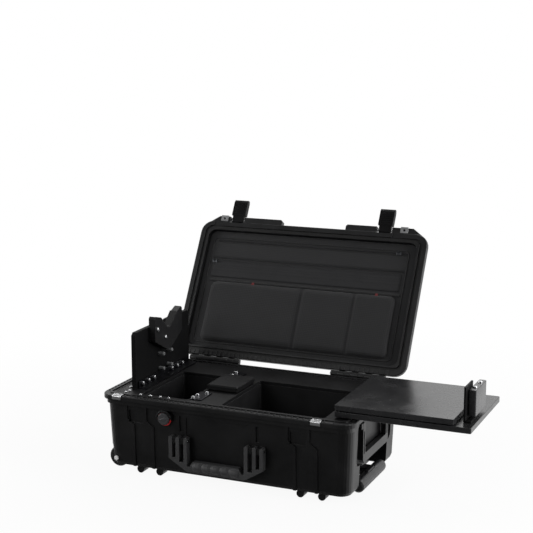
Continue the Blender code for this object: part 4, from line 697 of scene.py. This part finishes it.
# ------------------------------------------------------------------------ latches
# Two latches in glass-filled nylon, each on a steel pin between the blocks at
# the lid's edge, with moulded finger ribs on the pull end. The glass near the
# surface dulls them, so they look darker than the shell.
latch_nylon = moulded("glass_filled_black_nylon", "#0a0a0b", "#242426", 0.46, 0.0012, 0.00008, edge=0.0012,
                      gloss=0.18)
finish(latch_nylon, "latch_left", "latch_right")
LATCH_T = 0.336                 # up the lid, to the latch's pin
LATCH_D = 0.0088
LATCH_FACE = 0.0058             # from the latch's middle to each face
FINGER_RIB = (0.0125, 0.0010)   # half length and radius
FINGER_PITCH = 0.0052
for name, x in (("left", -0.189), ("right", 0.1675)):
    x0, x1 = x - FINGER_RIB[0], x + FINGER_RIB[0]
    bars = []
    for face in (-1, 1):
        for step in range(5):
            t = LATCH_T + 0.0175 + step * FINGER_PITCH
            d = LATCH_D + face * LATCH_FACE
            loops = []
            for along, scale in ((x0, 0.5), (x0 + 0.0008, 1.0), (x1 - 0.0008, 1.0), (x1, 0.5)):
                loops.append([(along, t + scale * a, d + scale * b)
                              for a, b in ringed(0.0, 0.0, FINGER_RIB[1], 10)])
            bars.append(lofted(loops))
    piece = dress(tidy("latch_finger_ribs_" + name, *joined(bars)), latch_nylon)
    piece.data.transform(LID)
    piece.data.flip_normals()
    put(piece, "latch_" + name, "nylon")


# --------------------------------------------------------------- lid organizer
# A lined board that fills the lid's cavity: foam under black ballistic nylon,
# sewn round the edge. It carries a piping, two coil zips, a stretched band of
# net between them and the pouch, and a padded pouch of three pockets.
LINING_FRONT = 0.0092
LINING_BACK = 0.0143
LINING_HALF = (0.2506, 0.1391)
LINING_MIDDLE = 0.168


def woven(name, warp, weft, thread, roughness, depth, fuzz=0.25):
    """A plain weave in the plane of the lid, at the spacing of its threads."""
    made, tree, where = started(name)
    flat = node(tree, "ShaderNodeMapping", {"Vector": where, "Rotation": (radians(LID_ANGLE), 0.0, 0.0)}
                ).outputs["Vector"]
    waves = []
    for direction in ("X", "Y"):
        waves.append(node(tree, "ShaderNodeTexWave", {"Vector": flat, "Scale": 1 / (20 * thread) * 2 * pi / 2,
                                                      "Distortion": 0.6, "Detail": 1.0, "Detail Scale": 2.0},
                          wave_type="BANDS", bands_direction=direction).outputs["Fac"])
    over = node(tree, "ShaderNodeMath", {0: waves[0], 1: waves[1]}, operation="MULTIPLY").outputs["Value"]
    cloud = node(tree, "ShaderNodeTexNoise", {"Vector": where, "Scale": 24.0, "Detail": 5.0,
                                              "Roughness": 0.6}).outputs["Fac"]
    lint = node(tree, "ShaderNodeTexNoise", {"Vector": where, "Scale": 900.0,
                                             "Detail": 2.0}).outputs["Fac"]
    mixed = node(tree, "ShaderNodeMix", {0: 0.35, 2: over, 3: cloud}, data_type="FLOAT").outputs[0]
    colour = node(tree, "ShaderNodeMix", {0: mixed, 6: linear(warp), 7: linear(weft)},
                  data_type="RGBA").outputs[2]
    height = node(tree, "ShaderNodeMix", {0: fuzz, 2: over, 3: lint}, data_type="FLOAT").outputs[0]
    bump = node(tree, "ShaderNodeBump", {"Height": height, "Distance": depth,
                                         "Strength": 0.6}).outputs["Normal"]
    plug(tree, tree.nodes["Principled BSDF"], {"Base Color": colour, "Normal": bump, "Roughness": roughness,
                                               "Sheen Weight": 0.12, "Sheen Roughness": 0.5})
    return made


def outline(half_x, half_y, radius, centre, steps=8):
    """Plane points of a rounded rectangle."""
    points = []
    for quarter, (sx, sy) in enumerate(((1, 1), (-1, 1), (-1, -1), (1, -1))):
        for step in range(steps + 1):
            turn = (quarter + step / steps) * pi / 2
            points.append((centre[0] + sx * (half_x - radius) + radius * cos(turn),
                           centre[1] + sy * (half_y - radius) + radius * sin(turn)))
    return points


def lidded(name, solid, material, angle=35.0):
    """A piece drawn in lid places, turned up with the lid."""
    points, faces = solid
    return dress(tidy(name, [LID @ Vector(point) for point in points], faces, angle=angle), material)


# matt cloth: its threads scatter the light, and are drawn at 2 mm, four times
# the real spacing, so that they show
ballistic_nylon = woven("black_ballistic_nylon", "#1b1b1c", "#313133", 0.0020, 0.82, 0.00020)
tape_polyester = woven("black_zip_tape", "#0e0e0f", "#1e1e20", 0.0016, 0.70, 0.00015)
piping_cord = woven("black_piping_cord", "#0e0e0f", "#1e1e20", 0.0016, 0.66, 0.00020)

lining_loops = []
for d, inset in ((LINING_BACK, 0.0), (LINING_FRONT + 0.0016, 0.0), (LINING_FRONT + 0.0005, 0.0006),
                 (LINING_FRONT, 0.0020)):
    lining_loops.append([(x, t, d) for x, t in outline(LINING_HALF[0] - inset, LINING_HALF[1] - inset,
                                                        0.0175 - inset, (0.0, LINING_MIDDLE))])
lining = lidded("organizer_lining", lofted(lining_loops), ballistic_nylon)
put(lining, "lid", "lining_fabric", "organizer_panel")


def tube_along(path, radius, closed=True, sides=8):
    """A cord of round section along flat lid points, at one depth."""
    count = len(path)
    loops = []
    for i in range(count):
        before = Vector(path[(i - 1) % count] if closed else path[max(i - 1, 0)])
        after = Vector(path[(i + 1) % count] if closed else path[min(i + 1, count - 1)])
        along = (after - before).normalized()
        across = along.cross(Vector((0.0, 0.0, 1.0)))
        centre = Vector(path[i])
        loops.append([tuple(centre + radius * (cos(2 * pi * s / sides) * across
                                               + sin(2 * pi * s / sides) * Vector((0.0, 0.0, 1.0))))
                      for s in range(sides)])
    return lofted(loops, closed=closed)


PIPING = (-0.238, 0.232, 0.040, 0.291)          # left, right, low, high
piping_path = [(x, t, LINING_FRONT - 0.0002) for x, t in
               outline((PIPING[1] - PIPING[0]) / 2, (PIPING[3] - PIPING[2]) / 2, 0.012,
                       ((PIPING[0] + PIPING[1]) / 2, (PIPING[2] + PIPING[3]) / 2))]
piping = lidded("organizer_piping", tube_along(piping_path, 0.0015), piping_cord, angle=80.0)
put(piping, "lid", "lining_fabric")


# --------------------------------------------------------------- zips and pulls
# Two coil zips on woven tapes, one along the net's upper edge and one under the
# upper piping. Each has a cast slider with a pair of pressed pull tabs, in a
# gunmetal plating that is a little lighter than the cloth.
coil_nylon = moulded("black_nylon_zip_coil", "#1e1e20", "#3c3c3e", 0.38, 0.0010, 0.00003, edge=0.0002)
slider_steel = brushed("gunmetal_zip_slider", "#56585b", 0.40, "X", line=0.0006)
# for each zip its two ends, how far up the lid it is, half its tape, and its pull's place
ZIPS = (("left", -0.2300, 0.2265, 0.2430, 0.0052, -0.224, 0.234),
        ("right", -0.2265, 0.2265, 0.2840, 0.0048, 0.210, 0.284))
SLIDER_PARTS = ((-0.0062, 0.0062, -0.0030, 0.0030, 0.0062, 0.0074),      # the body
                (-0.0056, -0.0024, -0.0043, 0.0043, 0.0051, 0.0060),     # the two tabs
                (0.0024, 0.0056, -0.0043, 0.0043, 0.0051, 0.0060),
                (-0.0048, -0.0032, 0.0012, 0.0028, 0.0058, 0.0064),      # and their bails
                (0.0032, 0.0048, 0.0012, 0.0028, 0.0058, 0.0064))
for name, x_from, x_to, t, half, pull_x, pull_t in ZIPS:
    tape_loops = []
    for x in (x_from, x_to):
        tape_loops.append([(x, t - half, LINING_FRONT + 0.0002), (x, t - half, LINING_FRONT - 0.0004),
                           (x, t - 0.0008, LINING_FRONT - 0.0006), (x, t, LINING_FRONT - 0.0003),
                           (x, t + 0.0008, LINING_FRONT - 0.0006), (x, t + half, LINING_FRONT - 0.0004),
                           (x, t + half, LINING_FRONT + 0.0002)])
    tape = lidded("zip_tape_" + name, lofted(tape_loops), tape_polyester)
    put(tape, "lid", "lining_fabric")
    coil = [(x, t, LINING_FRONT - 0.0007) for x in (x_from, x_to)]
    teeth = grown("zip_teeth_" + name, along_row, [coil],
                  {"Pitch": 0.0016, "Size": (0.0011, 0.0024, 0.0009), "Sway": 0.0014, "Beads": False,
                   "Finish": coil_nylon}, matrix=LID)
    teeth.data.flip_normals()
    put(teeth, "lid", "lining_fabric")
    slider = []
    for s0, s1, t0, t1, d0, d1 in SLIDER_PARTS:
        loops = []
        for d, inset in ((d1, 0.0002), (d1 - 0.0002, 0.0), (d0 + 0.0002, 0.0), (d0, 0.0003)):
            loops.append([(pull_x + a, pull_t + b, d) for a, b in
                          outline((s1 - s0) / 2 - inset, (t1 - t0) / 2 - inset, 0.0007,
                                  ((s0 + s1) / 2, (t0 + t1) / 2), 3)])
        slider.append(lofted(loops))
    pull = lidded("zip_pull_cast_" + name, joined(slider), slider_steel)
    put(pull, "pull_" + name, "stainless", "zip_pull_" + name)


# -------------------------------------------------------------- band of net
# A stretched band of knitted polyester net across the lining, between the lower
# zip and the pouch, and sewn down; its holes show as a fine, even pattern.
def netted(name, thread, hole, pitch):
    """A knitted net: a hexagon-like pattern of small holes over the lining."""
    made, tree, where = started(name)
    flat = node(tree, "ShaderNodeMapping", {"Vector": where, "Rotation": (radians(LID_ANGLE), 0.0, 0.0),
                                            "Scale": (1.0, 1.0, 0.0)}).outputs["Vector"]
    cell = node(tree, "ShaderNodeTexVoronoi", {"Vector": flat, "Scale": 1 / pitch, "Randomness": 0.15},
                feature="DISTANCE_TO_EDGE").outputs["Distance"]
    strand = node(tree, "ShaderNodeMapRange", {"Value": cell, "From Min": 0.10, "From Max": 0.30,
                                               "To Min": 1.0, "To Max": 0.0}).outputs["Result"]
    cloud = node(tree, "ShaderNodeTexNoise", {"Vector": where, "Scale": 18.0,
                                              "Detail": 4.0}).outputs["Fac"]
    tone = node(tree, "ShaderNodeMath", {0: strand, 1: cloud}, operation="MULTIPLY").outputs["Value"]
    colour = node(tree, "ShaderNodeMix", {0: tone, 6: linear(hole), 7: linear(thread)},
                  data_type="RGBA").outputs[2]
    bump = node(tree, "ShaderNodeBump", {"Height": strand, "Distance": 0.0003,
                                         "Strength": 0.7}).outputs["Normal"]
    plug(tree, tree.nodes["Principled BSDF"], {"Base Color": colour, "Normal": bump, "Roughness": 0.72})
    return made


# the holes are drawn 3 mm apart, twice the real pitch, so that they show
knit_net = netted("black_knitted_net", "#2b2b2d", "#1b1b1d", 0.0030)
NET = (-0.229, 0.223, 0.1960, 0.2365)           # left, right, low, high
net_points = []
net_faces = []
COLUMNS, ROWS = 90, 10
for j in range(ROWS + 1):
    for i in range(COLUMNS + 1):
        u, v = i / COLUMNS, j / ROWS
        bulge = 0.0007 * sin(pi * v) * (0.7 + 0.3 * sin(2 * pi * 3.1 * u + 0.6))
        net_points.append((NET[0] + u * (NET[1] - NET[0]), NET[2] + v * (NET[3] - NET[2]),
                           LINING_FRONT - 0.0005 - bulge))
for j in range(ROWS):
    for i in range(COLUMNS):
        a = j * (COLUMNS + 1) + i
        net_faces.append([a, a + 1, a + COLUMNS + 2, a + COLUMNS + 1])
net_sheet = lidded("organizer_net", (net_points, net_faces), knit_net)
solid = net_sheet.modifiers.new("cloth_thickness", "SOLIDIFY")
solid.thickness = 0.0004
solid.offset = 0.0
put(net_sheet, "lid", "lining_fabric")


# ------------------------------------------------------------- padded pouch
# Three flat pockets in one length of padded ballistic nylon: two layers of cloth
# over thin foam, sewn through to the lining between the pockets and all round.
POUCH = (-0.2270, 0.2270, 0.0370, 0.1910)       # left, right, low, high
POUCH_FRONT = 0.0018
POUCH_BACK = LINING_FRONT - 0.0001
SEAMS = (0.004, 0.127)
FOLDS = ((0.018, 0.009), (0.141, 0.010), (0.096, 0.006), (-0.150, 0.030))   # soft ridges: place, width
VOXEL = 0.0045
PUFF_STEPS = 20                 # frames of the cloth simulation
PUFF_MOST = 0.0050              # how far it may move a point


def swollen(name, points, faces, cap):
    """Puff a closed shape as padded cloth does, and cap how far it may move."""
    obj = tidy(name, points, faces, smooth=False)
    remesh = obj.modifiers.new("even", "REMESH")
    remesh.mode = "VOXEL"
    remesh.voxel_size = VOXEL
    even = applied(obj)
    rest = [v.co.copy() for v in even.vertices]
    cloth = obj.modifiers.new("cloth", "CLOTH")
    cloth.settings.use_pressure = True
    cloth.settings.uniform_pressure_force = 4.0
    cloth.settings.quality = 6
    cloth.settings.effector_weights.gravity = 0.0
    cloth.collision_settings.use_collision = False
    scene = bpy.context.scene
    for step in range(1, PUFF_STEPS + 1):
        scene.frame_set(step)
    puffed = applied(obj)
    scene.frame_set(1)
    for vertex, start in zip(puffed.vertices, rest):
        move = vertex.co - start
        if move.length > cap:
            vertex.co = start + move * (cap / move.length)
    return obj


pouch_loops = []
for d, inset in ((POUCH_BACK, 0.0030), (POUCH_BACK - 0.0022, 0.0012), (POUCH_FRONT + 0.0030, 0.0012),
                 (POUCH_FRONT + 0.0014, 0.0030)):
    pouch_loops.append([(x, t, d) for x, t in outline((POUCH[1] - POUCH[0]) / 2 - inset,
                                                       (POUCH[3] - POUCH[2]) / 2 - inset, 0.014,
                                                       (0.0, (POUCH[2] + POUCH[3]) / 2))])
pouch = swollen("organizer_pouch_padded", *lofted(pouch_loops), cap=PUFF_MOST)
for vertex in pouch.data.vertices:
    x, t, d = vertex.co
    channel = sum(exp(-((x - seam) / 0.0042) ** 2) for seam in SEAMS)
    edge = min(x - POUCH[0], POUCH[1] - x, t - POUCH[2], POUCH[3] - t)
    edge_drop = exp(-(max(edge, 0.0) / 0.006) ** 2)
    crown = 0.0
    for left, right in ((POUCH[0], SEAMS[0]), (SEAMS[0], SEAMS[1]), (SEAMS[1], POUCH[1])):
        if left < x < right:
            u = (x - left) / (right - left)
            v = min(max((t - POUCH[2]) / (POUCH[3] - POUCH[2]), 0.0), 1.0)
            crown = (sin(pi * u) ** 0.5 * sin(pi * v) ** 0.4
                     * (0.85 + 0.15 * sin(5.0 * v + 9.0 * u + left * 40)))
    front_share = min(max((POUCH_BACK - d) / (POUCH_BACK - POUCH_FRONT), 0.0), 1.0)
    depth = POUCH_BACK - d
    folds = sum(exp(-((x - at) / width) ** 2) * min(v * 2.2, 1.0) for at, width in FOLDS)
    sunk = (depth * (1 - 0.75 * min(channel + edge_drop, 1.0))
            + (0.0014 * crown + 0.0016 * folds) * front_share)
    vertex.co = (min(max(x, POUCH[0]), POUCH[1]), min(max(t, POUCH[2]), POUCH[3]),
                 min(max(POUCH_BACK - sunk, -0.0009), POUCH_BACK))
fine = pouch.modifiers.new("smooth", "SUBSURF")
fine.levels = 1
fine.render_levels = 1
smoothed = applied(pouch)
bm = bmesh.new()
bm.from_mesh(smoothed)
for _ in range(4):
    bmesh.ops.smooth_vert(bm, verts=bm.verts, factor=0.5, use_axis_x=True, use_axis_y=True, use_axis_z=True)
bm.transform(LID)
bmesh.ops.recalc_face_normals(bm, faces=bm.faces)
bm.to_mesh(smoothed)
bm.free()
smoothed.shade_smooth()
dress(pouch, ballistic_nylon)
put(pouch, "lid", "lining_fabric", "organizer_pouch")

# its bound top edge
binding_loops = []
for x in (POUCH[0] + 0.001, POUCH[1] - 0.001):
    binding_loops.append([(x, POUCH[3] - 0.0034 + 0.0030 * a, LINING_FRONT - 0.0018 + 0.0021 * b)
                          for a, b in ringed(0.0, 0.0, 1.0, 12)])
binding = lidded("organizer_pouch_binding", lofted(binding_loops), tape_polyester, angle=80.0)
put(binding, "lid", "lining_fabric")
# two small pull tags of red webbing, sewn in under the binding
red_webbing = woven("red_nylon_webbing", "#5a1416", "#7a2022", 0.0012, 0.70, 0.00010)
for name, x in (("left", -0.118), ("right", 0.176)):
    tag_loops = []
    for t, d in ((POUCH[3] - 0.0030, LINING_FRONT - 0.0036), (POUCH[3] - 0.0060, LINING_FRONT - 0.0050),
                 (POUCH[3] - 0.0100, LINING_FRONT - 0.0062)):
        tag_loops.append([(x - 0.0030, t, d - 0.0004), (x + 0.0030, t, d - 0.0004),
                          (x + 0.0030, t, d + 0.0004), (x - 0.0030, t, d + 0.0004)])
    put(lidded("pouch_tag_" + name, lofted(tag_loops), red_webbing), "lid", "lining_fabric")
# stitches in a paler, waxed thread, along the net's upper edge and beside the piping
stitch_rows = [[(x, NET[3] - 0.0016, LINING_FRONT - 0.0009) for x in (NET[0] + 0.002, NET[1] - 0.002)]]
for x, top in ((PIPING[0] + 0.004, 0.280), (PIPING[1] - 0.004, 0.274)):
    stitch_rows.append([(x, t, LINING_FRONT - 0.0003) for t in (0.0460, top)])
thread = moulded("bonded_nylon_thread", "#343436", "#4a4a4c", 0.5, 0.0010, 0.00003, edge=0.0001)
stitches = grown("organizer_stitches", along_row, stitch_rows,
                 {"Pitch": 0.0044, "Size": (0.0030, 0.0006, 0.0005), "Beads": True,
                  "Finish": thread}, matrix=LID)
stitches.data.flip_normals()
put(stitches, "lid", "lining_fabric")


# ---------------------------------------------------------------------- studio
# The photograph's view and light: a white backdrop behind the case, a darker
# room in front of it, a pale floor, and four large soft lamps.
camera = bpy.data.objects.new("camera", bpy.data.cameras.new("camera"))
camera.location = (1.0519, -2.3635, 0.9208)
camera.rotation_euler = (radians(90 - 10.908), 0.0, radians(23.394))
camera.data.lens = 87.67
camera.data.sensor_width = 36.0
bpy.context.scene.collection.objects.link(camera)
bpy.context.scene.camera = camera


def lamp(name, place, aim, size, power):
    """A square soft box at a place, aimed at a point."""
    made = bpy.data.objects.new(name, bpy.data.lights.new(name, "AREA"))
    made.data.size = size
    made.data.energy = power
    made.location = place
    made.rotation_euler = (Vector(aim) - Vector(place)).to_track_quat("-Z", "Y").to_euler()
    bpy.context.scene.collection.objects.link(made)
    return made


MIDDLE = (0.05, 0.0, 0.12)
lamp("key_soft_box", (-1.2, -2.5, 1.4), MIDDLE, 1.2, 16.0)
lamp("left_soft_box", (-2.6, -0.7, 1.0), MIDDLE, 1.2, 26.0)
lamp("right_soft_box", (2.4, 0.2, 1.3), MIDDLE, 1.6, 46.0)
lamp("back_soft_box", (0.3, 2.4, 2.2), MIDDLE, 1.6, 20.0)

world = bpy.data.worlds.new("white_backdrop")
world.use_nodes = True
bpy.context.scene.world = world
tree = world.node_tree
tree.nodes.clear()
rays = node(tree, "ShaderNodeLightPath").outputs
toward = node(tree, "ShaderNodeTexCoord").outputs["Generated"]
axes = node(tree, "ShaderNodeSeparateXYZ", {0: toward}).outputs
behind = node(tree, "ShaderNodeMapRange", {"Value": axes["Y"], "From Min": -0.15,
                                           "From Max": 0.35}).outputs["Result"]
mirrored = node(tree, "ShaderNodeMath", {0: rays["Is Glossy Ray"], 1: behind},
                operation="MULTIPLY").outputs["Value"]
seen = node(tree, "ShaderNodeMath", {0: rays["Is Camera Ray"], 1: rays["Is Transmission Ray"]},
            operation="MAXIMUM").outputs["Value"]
white = node(tree, "ShaderNodeMath", {0: seen, 1: mirrored}, operation="MAXIMUM").outputs["Value"]
ROOM_LIGHT = 0.18               # what the room gives dull surfaces
ROOM_MIRRORED = 0.07            # and how bright it is in glossy ones
WHITE = (1.0, 1.0, 1.0, 1.0)
room = node(tree, "ShaderNodeMapRange", {"Value": rays["Is Glossy Ray"], "To Min": ROOM_LIGHT,
                                         "To Max": ROOM_MIRRORED}).outputs["Result"]
strength = node(tree, "ShaderNodeMapRange", {"Value": white, "To Min": room,
                                             "To Max": 1.0}).outputs["Result"]
background = node(tree, "ShaderNodeBackground", {"Color": WHITE, "Strength": strength})
node(tree, "ShaderNodeOutputWorld", {"Surface": background.outputs["Background"]})

FLOOR_HALF = 30.0
floor_corners = [(FLOOR_HALF * a, FLOOR_HALF * b, 0.0) for a, b in ((-1, -1), (1, -1), (1, 1), (-1, 1))]
floor = tidy("floor", floor_corners, [[0, 1, 2, 3]])
floor_paint = bpy.data.materials.new("matt_white_floor")
floor_paint.use_nodes = True
tree = floor_paint.node_tree
tree.nodes.clear()
rays = node(tree, "ShaderNodeLightPath").outputs
lit = node(tree, "ShaderNodeBsdfDiffuse", {"Color": linear("#f2f2f2")}).outputs["BSDF"]
glow = node(tree, "ShaderNodeEmission", {"Color": WHITE, "Strength": 1.0}).outputs["Emission"]
away = node(tree, "ShaderNodeVectorMath", {0: node(tree, "ShaderNodeTexCoord").outputs["Object"]},
            operation="LENGTH").outputs["Value"]
# the shadow shows near the case, and the floor fades into the backdrop round it
fading = node(tree, "ShaderNodeMapRange", {"Value": away, "From Min": 0.35, "From Max": 1.3, "To Min": 0.93,
                                           "To Max": 1.0}).outputs["Result"]
share = node(tree, "ShaderNodeMath", {0: rays["Is Camera Ray"], 1: fading},
             operation="MULTIPLY").outputs["Value"]
paint = node(tree, "ShaderNodeMixShader", {0: share, 1: lit, 2: glow}).outputs["Shader"]
node(tree, "ShaderNodeOutputMaterial", {"Surface": paint})
dress(floor, floor_paint)
floor.visible_glossy = False

bpy.context.scene.view_settings.view_transform = "Standard"
